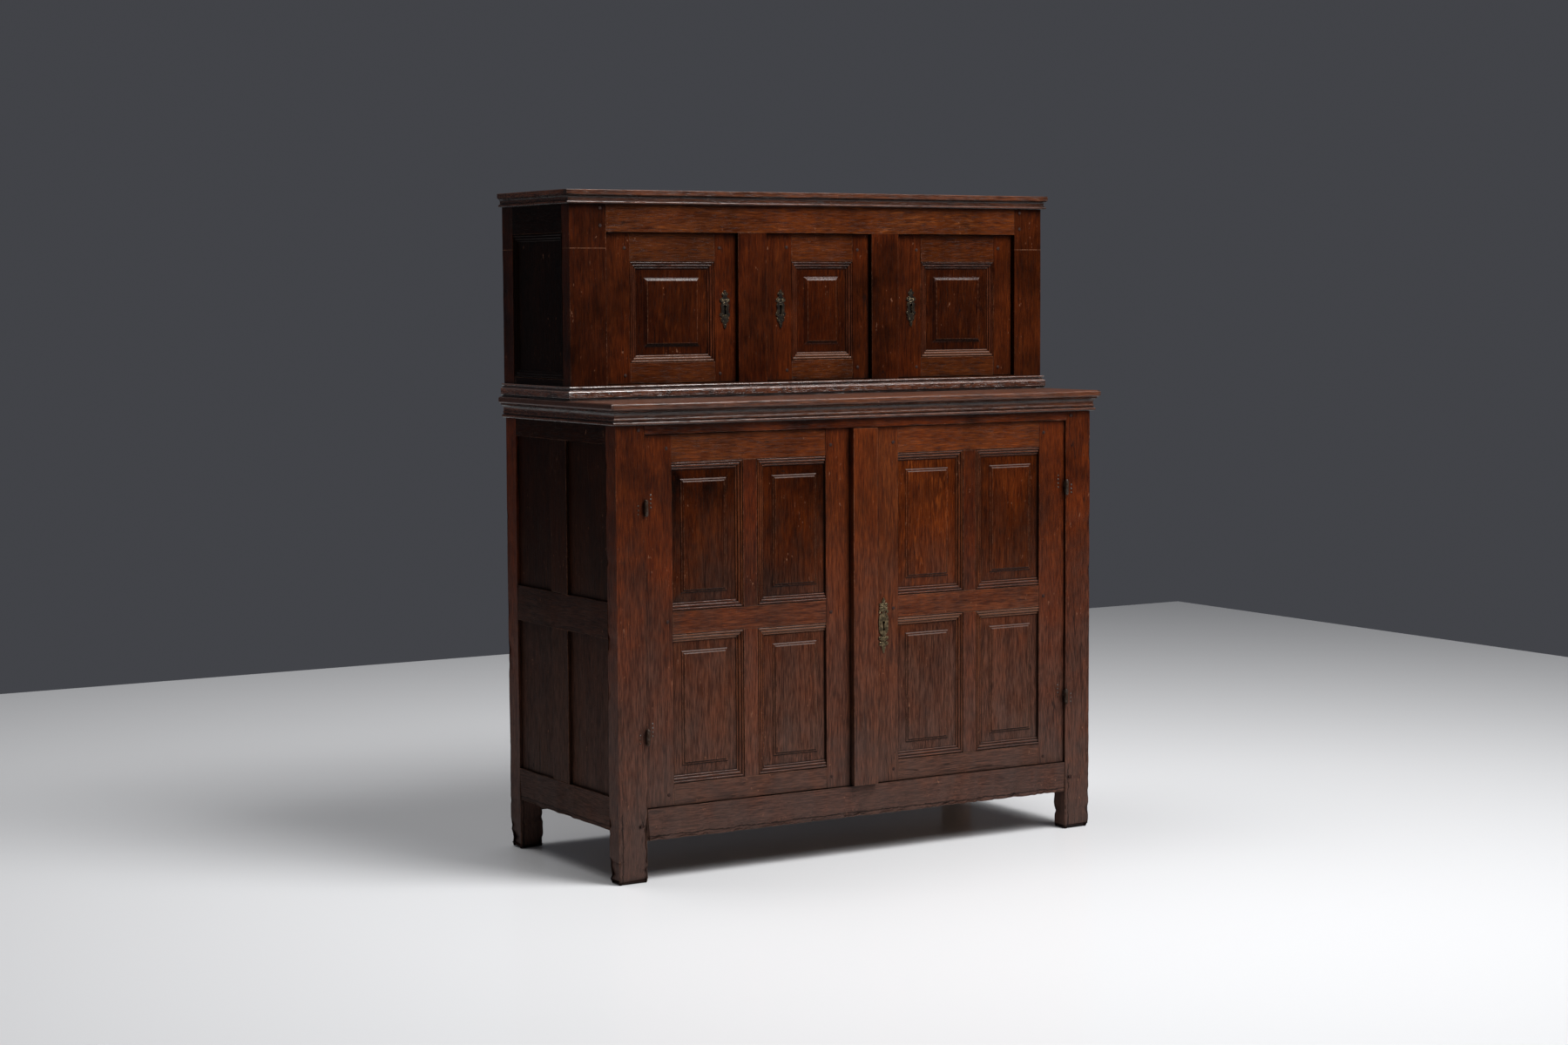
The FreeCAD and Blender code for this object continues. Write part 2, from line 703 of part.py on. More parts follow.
# Shelf on two bearers fixed to the sides' middle rails
shelf_back = "back - back_rail_thickness - back_board_thickness"
bearers = [block(f"{tag}_bearer", side_range(side, "frame_thickness", "frame_thickness + bearer_width"),
                 ("inner_front", "inner_back"), ("shelf_height - bearer_height", "shelf_height"))
           for side, tag in ((-1, "left"), (1, "right"))]
node("shelf_bearers", *bearers)
shelf_boards = []
for number in range(SHELF_BOARDS):
    depth = f"({shelf_back} - (front + shelf_setback)) / {SHELF_BOARDS}"
    board = block(f"shelf_board_{number}", floor_span,
                  (f"front + shelf_setback + {depth} * {number}",
                   f"front + shelf_setback + {depth} * {number + 1}"),
                  ("shelf_height", "shelf_height + shelf_thickness"))
    if number == SHELF_BOARDS - 1:
        notches = [block(f"{tag}_shelf_notch", side_range(side, 0, "rear_post_width"),
                         ("inner_back", "back"), (0, "board_under"))
                   for side, tag in ((-1, "left"), (1, "right"))]
        board = cut(f"shelf_board_{number}", board, notches)
    shelf_boards.append(board)
node("lower_shelf", *shelf_boards)

# Waist boards with a rounded nosing on three sides
slab = block("waist_slab", ("-half - nosing_overhang", "half + nosing_overhang"),
             ("front - nosing_overhang", "back"), ("board_under", "waist_height"))
doc.recompute()
rounded = doc.addObject("Part::Fillet", "waist_nosing")
rounded.Base = slab
slab_low, slab_high = value("board_under"), value("waist_height")
slab_edge = value("half + nosing_overhang")
slab_front = value("front - nosing_overhang")
EDGE_SHARE = 0.001
nosing_edges = []
for index, edge in enumerate(slab.Shape.Edges, start=1):
    middle = edge.CenterOfMass
    level = min(abs(middle.z - slab_low), abs(middle.z - slab_high)) < slab_high * EDGE_SHARE
    outer = abs(abs(middle.x) - slab_edge) < slab_edge * EDGE_SHARE
    ahead = abs(middle.y - slab_front) < slab_edge * EDGE_SHARE
    if level and (outer or ahead):
        nosing_edges.append((index, value("nosing_round"), value("nosing_round")))
rounded.Edges = nosing_edges
waist_boards = []
for number in range(WAIST_BOARDS):
    depth = f"(case_depth + nosing_overhang) / {WAIST_BOARDS}"
    saw = block(f"waist_cell_{number}", ("-case_width", "case_width"),
                (f"front - nosing_overhang + {depth} * {number}",
                 f"front - nosing_overhang + {depth} * {number + 1}"),
                (0, "total_height"))
    board = doc.addObject("Part::Common", f"waist_board_{number}")
    board.Base = rounded
    board.Tool = saw
    waist_boards.append(board)
node("waist_boards", *waist_boards)

waist_section = section("waist_section", WAIST_CORNICE_SHARES, "waist_cornice_reach", "waist_cornice_height")
node("waist_cornice", *cornice("waist_cornice", waist_section, "half", "front",
                               "board_under - waist_cornice_height"))

# Front frame of the upper stage
upper_thick = ("upper_front", "upper_front + upper_frame_thickness")
upper_opening = ("left_opening", "right_post")
upper_head, upper_head_tenon = tenoned("upper_head", upper_opening, upper_thick,
                                       ("upper_opening_top", "roof_under"), "x", "y", "low")
upper_sill, upper_sill_tenon = tenoned("upper_sill", upper_opening,
                                       ("upper_front", "upper_inner_front"),
                                       ("waist_height", "upper_sill_top"), "x", "y", "low")
upper_muntins, upper_muntin_tenons = [], []
for tag, low, high in (("left", "left_muntin", "middle_opening"), ("right", "right_muntin", "right_opening")):
    muntin, muntin_tenon = tenoned(f"upper_{tag}_muntin", (low, high),
                                   ("upper_front", "upper_inner_front"),
                                   ("upper_sill_top", "upper_opening_top"), "z", "y", "low", "muntin_tenon")
    upper_muntins.append(muntin)
    upper_muntin_tenons.append(muntin_tenon)

# Back rails of the upper stage
upper_rear_span = ("upper_rear_post_width - upper_half", "upper_half - upper_rear_post_width")
upper_back_bottom, upper_back_bottom_tenon = tenoned(
    "upper_back_bottom", upper_rear_span, lower_rear_face,
    ("waist_height", "upper_sill_top"), "x", "y", "high")
upper_back_top, upper_back_top_tenon = tenoned(
    "upper_back_top", upper_rear_span, lower_rear_face,
    ("roof_under - back_rail_height", "roof_under"), "x", "y", "high")
# Sides of the upper stage
upper_rails, upper_plates, upper_side_tenons = [], [], {-1: [], 1: []}
for side, tag in ((-1, "left"), (1, "right")):
    face = "low" if side < 0 else "high"
    thick = side_range(side, 0, "upper_frame_thickness", "upper_half")
    plate = block(f"upper_{tag}_panel",
                  side_range(side, "upper_panel_sink", "upper_panel_sink + side_panel_thickness",
                             "upper_half"),
                  ("upper_inner_front - groove_depth", "upper_inner_back + groove_depth"),
                  ("upper_side_bottom - groove_depth", "upper_side_top + groove_depth"))
    upper_plates.append(plate)
    for level, low, high in (("bottom", "waist_height", "upper_side_bottom"),
                             ("top", "upper_side_top", "roof_under")):
        rail, rail_tenon = tenoned(f"upper_{tag}_{level}_rail", thick,
                                   ("upper_inner_front", "upper_inner_back"), (low, high), "y", "x", face)
        upper_rails.append(cut(f"upper_{tag}_{level}_rail", rail, [plate]))
        upper_side_tenons[side].append(rail_tenon)
node("upper_side_rails", *upper_rails)
node("upper_side_panels", *upper_plates)

# Posts of the upper stage
upper_pegs = []
for side, tag, width in ((-1, "left", "upper_left_post_width"), (1, "right", "upper_right_post_width")):
    for level, height in (("a", "upper_opening_top + peg_inset"), ("b", "roof_under - 2 * peg_inset")):
        upper_pegs.append(peg(f"upper_{tag}_peg_{level}", f"{side} * (upper_half - {width} + peg_inset)",
                              "upper_front", height, "y", "low"))
upper_posts = []
for side, tag, width in ((-1, "left", "upper_left_post_width"), (1, "right", "upper_right_post_width")):
    plate = upper_plates[0 if side < 0 else 1]
    front_post = block(f"upper_{tag}_front_post", side_range(side, 0, width, "upper_half"),
                       ("upper_front", "upper_inner_front"), ("waist_height", "roof_under"))
    rear_post = block(f"upper_{tag}_rear_post", side_range(side, 0, "upper_rear_post_width", "upper_half"),
                      ("upper_inner_back", "back"), ("waist_height", "roof_under"))
    tools = upper_side_tenons[side] + [plate]
    post_pegs = [thing for thing in upper_pegs if f"_{tag}_" in thing.Name]
    upper_posts.append(cut(f"upper_{tag}_front_post", front_post, tools,
                           [upper_head_tenon, upper_sill_tenon], post_pegs))
    upper_posts.append(cut(f"upper_{tag}_rear_post", rear_post, tools,
                           [upper_back_bottom_tenon, upper_back_top_tenon]))
node("upper_posts", *upper_posts)

# Upper floor boards run from the sill to the back's bottom rail
upper_floor_span = ("upper_frame_thickness - upper_half", "upper_half - upper_frame_thickness")
upper_floor = []
for number in range(UPPER_FLOOR_BOARDS):
    width = f"({upper_floor_span[1]} - ({upper_floor_span[0]})) / {UPPER_FLOOR_BOARDS}"
    upper_floor.append(block(
        f"upper_floor_board_{number}",
        (f"({upper_floor_span[0]}) + {width} * {number}",
         f"({upper_floor_span[0]}) + {width} * {number + 1}"),
        ("upper_inner_front - groove_depth", "back - back_rail_thickness + groove_depth"),
        ("upper_floor_top - roof_thickness", "upper_floor_top")))
cut_upper_floor = list(upper_floor)
for number in (0, UPPER_FLOOR_BOARDS - 1):
    side, tag, width = ((-1, "left", "upper_left_post_width") if number == 0
                        else (1, "right", "upper_right_post_width"))
    notches = [block(f"upper_{tag}_{end}_notch", side_range(side, 0, wide, "upper_half"), y,
                     ("waist_height", "roof_under"))
               for end, wide, y in (("front", width, ("upper_front", "upper_inner_front")),
                                    ("rear", "upper_rear_post_width", ("upper_inner_back", "back")))]
    cut_upper_floor[number] = cut(f"upper_floor_board_{number}", upper_floor[number], notches)
node("upper_floor_boards", *cut_upper_floor)
upper_floor_bundle = group("upper_floor_bundle", upper_floor)
node("back_rails", cut("back_bottom", back_bottom, floor_bundle), back_top,
     cut("upper_back_bottom", upper_back_bottom, upper_floor_bundle), upper_back_top)

upper_back_boards = []
for number in range(BACK_BOARDS):
    width = f"({upper_rear_span[1]} - ({upper_rear_span[0]})) / {BACK_BOARDS}"
    upper_back_boards.append(block(
        f"upper_back_board_{number}",
        (f"({upper_rear_span[0]}) + {width} * {number}", f"({upper_rear_span[0]}) + {width} * {number + 1}"),
        ("back - back_rail_thickness - back_board_thickness", "back - back_rail_thickness"),
        ("upper_floor_top", "roof_under")))
node("back_boards", *back_boards, *upper_back_boards)

partitions = []
for tag, low, high in (("left", "left_muntin", "middle_opening"), ("right", "right_muntin", "right_opening")):
    middle = f"(({low}) + ({high})) / 2"
    partitions.append(block(f"{tag}_partition",
                            (f"{middle} - partition_thickness / 2", f"{middle} + partition_thickness / 2"),
                            ("upper_inner_front", shelf_back), ("upper_floor_top", "roof_under")))
node("upper_partitions", *partitions)

roof_boards = []
for number in range(ROOF_BOARDS):
    depth = f"upper_depth / {ROOF_BOARDS}"
    roof_boards.append(block(f"roof_board_{number}", ("-upper_half", "upper_half"),
                             (f"upper_front + {depth} * {number}", f"upper_front + {depth} * {number + 1}"),
                             ("roof_under", "total_height")))
node("roof_boards", *roof_boards)

top_section = section("top_section", TOP_CORNICE_SHARES, "top_cornice_reach", "top_cornice_height")
node("top_cornice", *cornice("top_cornice", top_section, "upper_half", "upper_front",
                             "total_height - top_cornice_height"))
base_section = section("base_section", BASE_MOULDING_SHARES, "base_moulding_reach", "base_moulding_height")
node("waist_base_moulding", *cornice("base_moulding", base_section, "upper_half", "upper_front",
                                     "waist_height"))

upper_section = section("upper_door_section", DOOR_MOULDING_SHARES, "upper_moulding_width",
                        "upper_door_sink")
side_section = section("upper_side_section", DOOR_MOULDING_SHARES, "upper_moulding_width",
                       "upper_panel_sink")
door_section = section("door_section", DOOR_MOULDING_SHARES, "door_moulding_width", "door_panel_sink")
ALL_MITRED = {side: ("in", "in") for side in ("bottom", "left", "top", "right")}
side_mouldings = surround("left_side_moulding", side_section, ("upper_inner_back", "upper_inner_front"),
                          "upper_panel_sink - upper_half", ("upper_side_bottom", "upper_side_top"),
                          ALL_MITRED, "left")
side_mouldings += surround("right_side_moulding", side_section, ("upper_inner_front", "upper_inner_back"),
                           "upper_half - upper_panel_sink", ("upper_side_bottom", "upper_side_top"),
                           ALL_MITRED, "right")
node("upper_side_mouldings", *side_mouldings)


def keyhole(name, x, z, y):
    """The opening for a key, round above with a slot below; z is the middle of its plate."""
    middle = f"({z}) + keyhole_lift"
    barrel = pin(name + "_round", x, y, middle, "keyhole_radius", "y")
    slot = block(name + "_slot", (f"({x}) - keyhole_slot_width / 2", f"({x}) + keyhole_slot_width / 2"), y,
                 (f"{middle} - keyhole_slot_height", middle))
    return join(name, [barrel, slot])


def plate_outline(name, shares, width, height):
    """The outline of an escutcheon, the same on both sides of its middle line."""
    other_half = [(-point[0], point[1]) + tuple(point[2:]) for point in shares[1:-1]]
    bulges = [point[2] if len(point) > 2 else 0 for point in shares]
    mirrored = []
    for index, point in enumerate(reversed(other_half)):
        bulge = bulges[len(shares) - 1 - index]
        mirrored.append((point[0], point[1], bulge))
    points = list(shares) + mirrored
    points[0] = (shares[0][0], shares[0][1], bulges[1])
    return outline(name, points, width, height, Rotation(Vector(1, 0, 0), 90))


def escutcheon(name, sketch, x, face, z, hole):
    """A thin plate of the given outline, pierced for the key."""
    plate = doc.addObject("Part::Extrusion", name + "_plate")
    plate.Base = sketch
    plate.DirMode = "Custom"
    plate.Dir = Vector(0, -1, 0)
    plate.Solid = True
    bind(plate, LengthFwd="plate_thickness")
    place(plate, x, face, z)
    return cut(name, plate, [hole])


def lock(name, edge, toward, keyhole_x, keyhole_z, rear, width, height, bolt_length):
    """A lock let into the back of a stile: its case, the bolt, the bolt's way and its keeper hole.

    edge is the door's edge that the bolt leaves by, toward is -1 for left and 1 for right.
    """
    def along(near, far):
        if toward < 0:
            return f"({edge}) + ({near})", f"({edge}) + ({far})"
        return f"({edge}) - ({far})", f"({edge}) - ({near})"

    depth = (f"{rear} - lock_thickness", rear)
    tall = (f"({keyhole_z}) - ({height}) / 2", f"({keyhole_z}) + ({height}) / 2")
    outer = block(name + "_outer", along(0, width), depth, tall)
    bolt_y = f"{rear} - lock_thickness / 2"
    bolt_z = f"({keyhole_z}) + bolt_rise"

    def bar(tag, near, far, spare):
        return block(f"{name}_{tag}", along(near, far),
                     (f"{bolt_y} - bolt_thickness / 2 - {spare}", f"{bolt_y} + bolt_thickness / 2 + {spare}"),
                     (f"{bolt_z} - {spare}", f"{bolt_z} + bolt_height + {spare}"))

    bolt = bar("bolt", "bolt_setback", f"bolt_setback + {bolt_length}", 0)
    way = bar("way", "-cut_overrun", f"bolt_setback + {bolt_length} + bolt_clearance", "bolt_clearance")
    keeper = bar("keeper", "-keeper_depth", "bolt_setback", "keeper_clearance")
    chamber = block(name + "_chamber", along("lock_wall", f"{width} - lock_wall"),
                    (f"{rear} - lock_thickness + lock_wall", f"{bolt_y} + bolt_thickness / 2"),
                    (f"({keyhole_z}) - ({height}) / 2 + lock_wall", bolt_z))
    case = cut(name, outer, [way], [chamber])
    return {"case": case, "outer": outer, "bolt": bolt, "keeper": keeper}


def framed_door(name, x, z, face, rear, stiles, rails, muntin, sink, tongue, field, margins, profile):
    """The stiles, rails, muntins, panels and mouldings of one door.

    stiles are the left and right widths; rails are (low, high) heights from the bottom up; field gives
    a panel's raised layers; margins are the field's side and end distances and the moulding's width.
    """
    thick = (face, rear)
    inner = (f"({x[0]}) + {stiles[0]}", f"({x[1]}) - {stiles[1]}")
    rail_parts = [tenoned(f"{name}_rail_{number}", inner, thick, span, "x", "y", "low")
                  for number, span in enumerate(rails)]
    bays = [inner]
    if muntin:
        middle = f"(({inner[0]}) + ({inner[1]})) / 2"
        bays = [(inner[0], f"{middle} - {muntin} / 2"), (f"{middle} + {muntin} / 2", inner[1])]
    panels, plates, mouldings, muntins, muntin_tenons = [], [], [], [], []
    plane = f"{face} + {sink}"
    for storey in range(len(rails) - 1):
        span = (rails[storey][1], rails[storey + 1][0])
        if muntin:
            bar, tenon = tenoned(f"{name}_muntin_{storey}", (bays[0][1], bays[1][0]), thick, span,
                                 "z", "y", "low", "muntin_tenon")
            muntins.append(bar)
            muntin_tenons.append(tenon)
        for bay, across in enumerate(bays):
            tag = f"{name}_panel_{storey}_{bay}"
            side_margin, end_margin, width = margins
            left = right = width
            sides = ALL_MITRED
            if muntin:
                left, right = ("0", width) if bay == 0 else (width, "0")
                near = "right" if bay == 0 else "left"
                sides = {"bottom": ("square", "in") if bay == 0 else ("in", "square"),
                         "top": ("in", "square") if bay == 0 else ("square", "in"),
                         near: ("in", "in")}
            layers = field((left, right, width), (side_margin, side_margin, end_margin))
            panel, plate = fielded_panel(tag, across, span, plane, layers, tongue)
            panels.append(panel)
            plates.append((storey, bay, plate))
            mouldings += surround(tag + "_moulding", profile, across, plane, span, sides)
    stile_parts = [
        block(f"{name}_left_stile", (x[0], inner[0]), thick, z),
        block(f"{name}_right_stile", (inner[1], x[1]), thick, z),
    ]
    rail_tenons = [tenon for _, tenon in rail_parts]
    stile_parts = [cut(f"{name}_stile_{number}", stile, rail_tenons,
                       [plate for _, bay, plate in plates if bay == bays_beside])
                   for number, (stile, bays_beside) in enumerate(zip(stile_parts, (0, len(bays) - 1)))]
    rail_solids = []
    for number, (rail, _) in enumerate(rail_parts):
        storeys = (number - 1, number)
        tools = [[plate for storey, _, plate in plates if storey in storeys]]
        if muntin:
            tools.append([tenon for storey, tenon in enumerate(muntin_tenons) if storey in storeys])
        rail_solids.append(cut(f"{name}_rail_{number}", rail, *tools))
    muntin_solids = [cut(f"{name}_muntin_{number}", bar,
                         [plate for storey, _, plate in plates if storey == number])
                     for number, bar in enumerate(muntins)]
    return {"stiles": stile_parts, "rails": rail_solids, "muntins": muntin_solids,
            "panels": panels, "mouldings": mouldings}


# Lower doors
lower_z = ("door_low", "door_high")
lower_rails = (
    ("door_low", "door_low + door_bottom_rail"),
    ("door_mid_bottom", "door_mid_bottom + door_mid_rail"),
    ("door_high - door_top_rail", "door_high"),
)
lower_margins = ("door_side_margin", "door_end_margin", "door_moulding_width")
left_x = ("opening_left + door_gap", "meeting_edge - meeting_gap")
right_x = ("meeting_edge", "opening_right - door_gap")
left_door = framed_door("left_door", left_x, lower_z, "door_face", "door_rear",
                        ("hanging_stile", "left_meeting_stile"), lower_rails, "door_muntin",
                        "door_panel_sink", "door_panel_tongue", stepped_field, lower_margins,
                        door_section)
right_door = framed_door("right_door", right_x, lower_z, "door_face", "door_rear",
                         ("right_meeting_stile", "right_hanging_stile"), lower_rails, "door_muntin",
                         "door_panel_sink", "door_panel_tongue", stepped_field, lower_margins,
                         door_section)


def knuckle(name, x, low, high, bead_at):
    """A hinge knuckle with a bead at its free end."""
    barrel = pin(name + "_barrel", x, "hinge_axis", (low, high), "knuckle_radius")
    bead = doc.addObject("Part::Sphere", name + "_bead")
    bind(bead, Radius=f"knuckle_radius * {BEAD_SHARE}")
    return [barrel, place(bead, x, "hinge_axis", bead_at)]


def hinge_halves(tag, side, height_name, height):
    """The post's half with its pin, and the door's half that turns on it."""
    axis_x = f"{side} * (half - post_width - door_gap / 2)"
    low, high = f"{height} - knuckle_height", f"{height} + knuckle_height"
    name = f"{tag}_{height_name}"
    lower = knuckle(name + "_lower", axis_x, low, f"{height} - knuckle_gap / 2", low)
    hinge_pin = pin(name + "_pin", axis_x, "hinge_axis", (low, f"{height} + hinge_pin_reach"),
                    "hinge_pin_radius")
    leaf = post_leaves[side][0 if height_name == "low" else 1]
    fixed = join(name + "_fixed", lower + [hinge_pin, leaf])
    upper = knuckle(name + "_upper", axis_x, f"{height} + knuckle_gap / 2", high, high)
    edge = f"{side} * (half - post_width - door_gap)"
    leaf_x = (edge, f"{edge} + leaf_thickness") if side < 0 else (f"{edge} - leaf_thickness", edge)
    door_leaf = block(name + "_door_leaf", leaf_x, ("hinge_axis", "hinge_axis + leaf_depth"),
                      (f"{height} + knuckle_gap / 2", f"{height} + knuckle_height * {LEAF_SHARE}"))
    bore = pin(name + "_bore", axis_x, "hinge_axis",
               (low, f"{height} + hinge_pin_reach + knuckle_gap"), "hinge_pin_radius + turning_clearance")
    moving = cut(name + "_moving", join(name + "_turning", upper + [door_leaf]), [bore])
    return fixed, moving, door_leaf


fixed_halves = []
for side, tag, door in ((-1, "left", left_door), (1, "right", right_door)):
    moving_halves, leaves = [], []
    for height_name, height in hinge_spots:
        fixed, moving, leaf = hinge_halves(tag, side, height_name, height)
        fixed_halves.append(fixed)
        moving_halves.append(moving)
        leaves.append(leaf)
    door["hinges"] = moving_halves
    outer_stile = 0 if side < 0 else 1
    door["stiles"][outer_stile] = cut(f"{tag}_hanging_stile", door["stiles"][outer_stile], leaves)
node("post_hinge_halves", *fixed_halves)

# Lock of the lower doors, let into the right door, its bolt entering the left door's stile
lower_lock = lock("lower_lock", "meeting_edge", -1, "meeting_edge + lower_keyhole_inset",
                  "lower_keyhole_height", "door_rear", "lower_lock_width", "lower_lock_height",
                  "lower_bolt_length")
lower_hole = keyhole("lower_keyhole", "meeting_edge + lower_keyhole_inset", "lower_keyhole_height",
                     ("door_face - cut_overrun", "door_rear - lock_thickness + lock_wall"))
left_door["stiles"][1] = cut("left_meeting_stile", left_door["stiles"][1], [lower_lock["keeper"]])
right_door["stiles"][0] = cut("right_meeting_stile", right_door["stiles"][0], [lower_lock["outer"]],
                              [lower_hole])
for tag, door in (("left", left_door), ("right", right_door)):
    prefix = f"lower_{tag}_door"
    node(f"{prefix}_stiles", *door["stiles"])
    node(f"{prefix}_rails", *door["rails"])
    node(f"{prefix}_muntins", *door["muntins"])
    node(f"{prefix}_panels", *door["panels"])
    node(f"{prefix}_mouldings", *door["mouldings"])
    node(f"{prefix}_hinge_halves", *door["hinges"])
node("cover_strip", block("strip", ("meeting_edge", "meeting_edge + strip_width"),
                          ("door_face - strip_thickness", "door_face"), lower_z))
lower_outline = plate_outline("lower_plate_outline", LOWER_PLATE_SHARES, "lower_plate_width",
                              "lower_plate_height")
node("lower_escutcheon", escutcheon("lower_plate", lower_outline, "meeting_edge + lower_keyhole_inset",
                                    "door_face", "lower_keyhole_height", lower_hole))
node("lower_lock_case", cut("lower_lock_case", lower_lock["case"], [lower_hole]))
node("lower_lock_bolt", lower_lock["bolt"])

# Flat bolt that holds the left door from inside, in two staples behind its meeting stile
bolt_left = "meeting_edge - meeting_gap - flat_bolt_inset - flat_bolt_width"
bolt_x = (bolt_left, f"{bolt_left} + flat_bolt_width")
bolt_top = "door_high - flat_bolt_drop"
slide_y = ("door_rear + flat_bolt_lift", "door_rear + flat_bolt_lift + flat_bolt_thickness")
node("left_door_flat_bolt", block("flat_bolt", bolt_x, slide_y,
                                  (f"{bolt_top} - flat_bolt_length", bolt_top)))
staples = []
for tag, low in (("high", f"{bolt_top} - high_staple_drop"),
                 ("low", f"{bolt_top} - flat_bolt_length + low_staple_rise")):
    outer = block(f"{tag}_staple_outer",
                  (f"{bolt_x[0]} - staple_clearance - staple_wall",
                   f"{bolt_x[1]} + staple_clearance + staple_wall"),
                  ("door_rear", f"{slide_y[1]} + staple_clearance + staple_wall"),
                  (low, f"{low} + staple_height"))
    inner = block(f"{tag}_staple_inner",
                  (f"{bolt_x[0]} - staple_clearance", f"{bolt_x[1]} + staple_clearance"),
                  (f"{slide_y[0]} - staple_clearance", f"{slide_y[1]} + staple_clearance"),
                  (f"{low} - cut_overrun", f"{low} + staple_height + cut_overrun"))
    staples.append(cut(f"{tag}_staple", outer, [inner]))
node("flat_bolt_staples", *staples)

# Upper doors: pivot pins on the hinge side, lock on the other
upper_z = ("upper_low", "upper_high")
upper_rail_spans = (("upper_low", "upper_low + upper_bottom_rail"), ("upper_high - upper_top_rail", "upper_high"))
upper_margins = ("upper_side_margin", "upper_end_margin", "upper_moulding_width")
upper_doors = (
    ("left", ("left_opening + door_gap", "left_muntin - door_gap"), -1,
     "left_door_hinge_stile", "left_door_lock_stile", "upper_lock_width", "upper_keyhole_inset"),
    ("middle", ("middle_opening + door_gap", "right_muntin - door_gap"), 1,
     "middle_door_hinge_stile", "middle_door_lock_stile", "wide_lock_width", "wide_keyhole_inset"),
    ("right", ("right_opening + door_gap", "right_post - door_gap"), 1,
     "right_door_hinge_stile", "right_door_lock_stile", "wide_lock_width", "wide_keyhole_inset"),
)
upper_outline = plate_outline("upper_plate_outline", UPPER_PLATE_SHARES, "upper_plate_width",
                              "upper_plate_height")
pivot_holes, keepers = [], {}
for tag, across, hinge_side, hinge_stile, lock_stile, lock_width, keyhole_inset in upper_doors:
    name = f"upper_{tag}"
    widths = (hinge_stile, lock_stile) if hinge_side < 0 else (lock_stile, hinge_stile)
    door = framed_door(name, across, upper_z, "upper_face", "upper_rear", widths, upper_rail_spans, None,
                       "upper_door_sink", "door_panel_tongue", bevelled_field, upper_margins,
                       upper_section)
    hinge_index = 0 if hinge_side < 0 else 1
    hinge_edge, lock_edge = across[hinge_index], across[1 - hinge_index]
    inward = -hinge_side
    pivot_x = f"({hinge_edge}) + {inward} * pivot_inset"
    pivot_y = "upper_face + pivot_inset"
    pivots = [
        pin(name + "_low_pivot", pivot_x, pivot_y, ("upper_low - pivot_reach", "upper_low + pivot_seat"),
            "pivot_radius"),
        pin(name + "_high_pivot", pivot_x, pivot_y, ("upper_high - pivot_seat", "upper_high + pivot_reach"),
            "pivot_radius"),
    ]
    pivot_holes += [
        pin(name + "_low_socket", pivot_x, pivot_y,
            ("upper_low - pivot_reach - turning_clearance", "upper_sill_top + cut_overrun"),
            "pivot_radius + turning_clearance"),
        pin(name + "_high_socket", pivot_x, pivot_y,
            ("upper_opening_top - cut_overrun", "upper_high + pivot_reach + turning_clearance"),
            "pivot_radius + turning_clearance"),
    ]
    corner_x = (hinge_edge, f"({hinge_edge}) + pivot_edge_round") if hinge_side < 0 else (
        f"({hinge_edge}) - pivot_edge_round", hinge_edge)
    corner = block(name + "_corner", corner_x, ("upper_face", "upper_face + pivot_edge_round"), upper_z)
    rounder = pin(name + "_rounder", f"({hinge_edge}) + {inward} * pivot_edge_round",
                  "upper_face + pivot_edge_round", ("upper_low - cut_overrun", "upper_high + cut_overrun"),
                  "pivot_edge_round")
    waste = cut(name + "_corner", corner, [rounder])
    door["stiles"][hinge_index] = cut(name + "_hinge_stile", door["stiles"][hinge_index], [waste], pivots)
    toward = -1 if hinge_side > 0 else 1
    keyhole_x = f"({lock_edge}) - {toward} * {keyhole_inset}"
    works = lock(name + "_lock", lock_edge, toward, keyhole_x, "upper_keyhole_height", "upper_rear",
                 lock_width, "upper_lock_height", "upper_bolt_length")
    hole = keyhole(name + "_keyhole", keyhole_x, "upper_keyhole_height",
                   ("upper_face - cut_overrun", "upper_rear - lock_thickness + lock_wall"))
    door["stiles"][1 - hinge_index] = cut(name + "_lock_stile", door["stiles"][1 - hinge_index],
                                          [works["outer"]], [hole])
    keepers.setdefault("left" if tag != "right" else "right", []).append(works["keeper"])
    prefix = f"upper_{tag}_door"
    node(f"{prefix}_frame", *door["stiles"], *door["rails"])
    node(f"{prefix}_panel", *door["panels"])
    node(f"{prefix}_mouldings", *door["mouldings"])
    node(f"{prefix}_escutcheon", escutcheon(f"{name}_plate", upper_outline, keyhole_x, "upper_face",
                                            "upper_keyhole_height", hole))
    node(f"{prefix}_ironwork", cut(f"{name}_lock_case", works["case"], [hole]), *pivots)
    node(f"{prefix}_lock_bolt", works["bolt"])

# Upper front rails and muntins, with the pivots' sockets and the bolts' keeper holes
head_sockets, sill_sockets = pivot_holes[1::2], pivot_holes[0::2]
node("upper_front_rails",
     cut("upper_head", upper_head, upper_muntin_tenons, upper_pegs, head_sockets),
     cut("upper_sill", upper_sill, upper_muntin_tenons, sill_sockets, upper_floor_bundle))
node("upper_muntins", cut("upper_left_muntin", upper_muntins[0], keepers["left"]),
     cut("upper_right_muntin", upper_muntins[1], keepers["right"]))
node("case_pegs", *front_pegs, *upper_pegs)

doc.recompute()

failed = [thing.Name for thing in doc.Objects if {"Invalid", "Error"} & set(thing.State)]
if failed:
    raise RuntimeError(f"objects that did not compute: {failed}")
for part in NODES:
    if part.Shape.isNull() or not part.Shape.isValid() or not part.Shape.Solids:
        raise RuntimeError(f"{part.Label} has no valid solid")
os.makedirs("parts", exist_ok=True)
for part in NODES:
    part.Shape.exportStep(f"parts/{part.Label}.step")
print(f"{len(NODES)} nodes, {sum(len(part.Shape.Solids) for part in NODES)} solids")
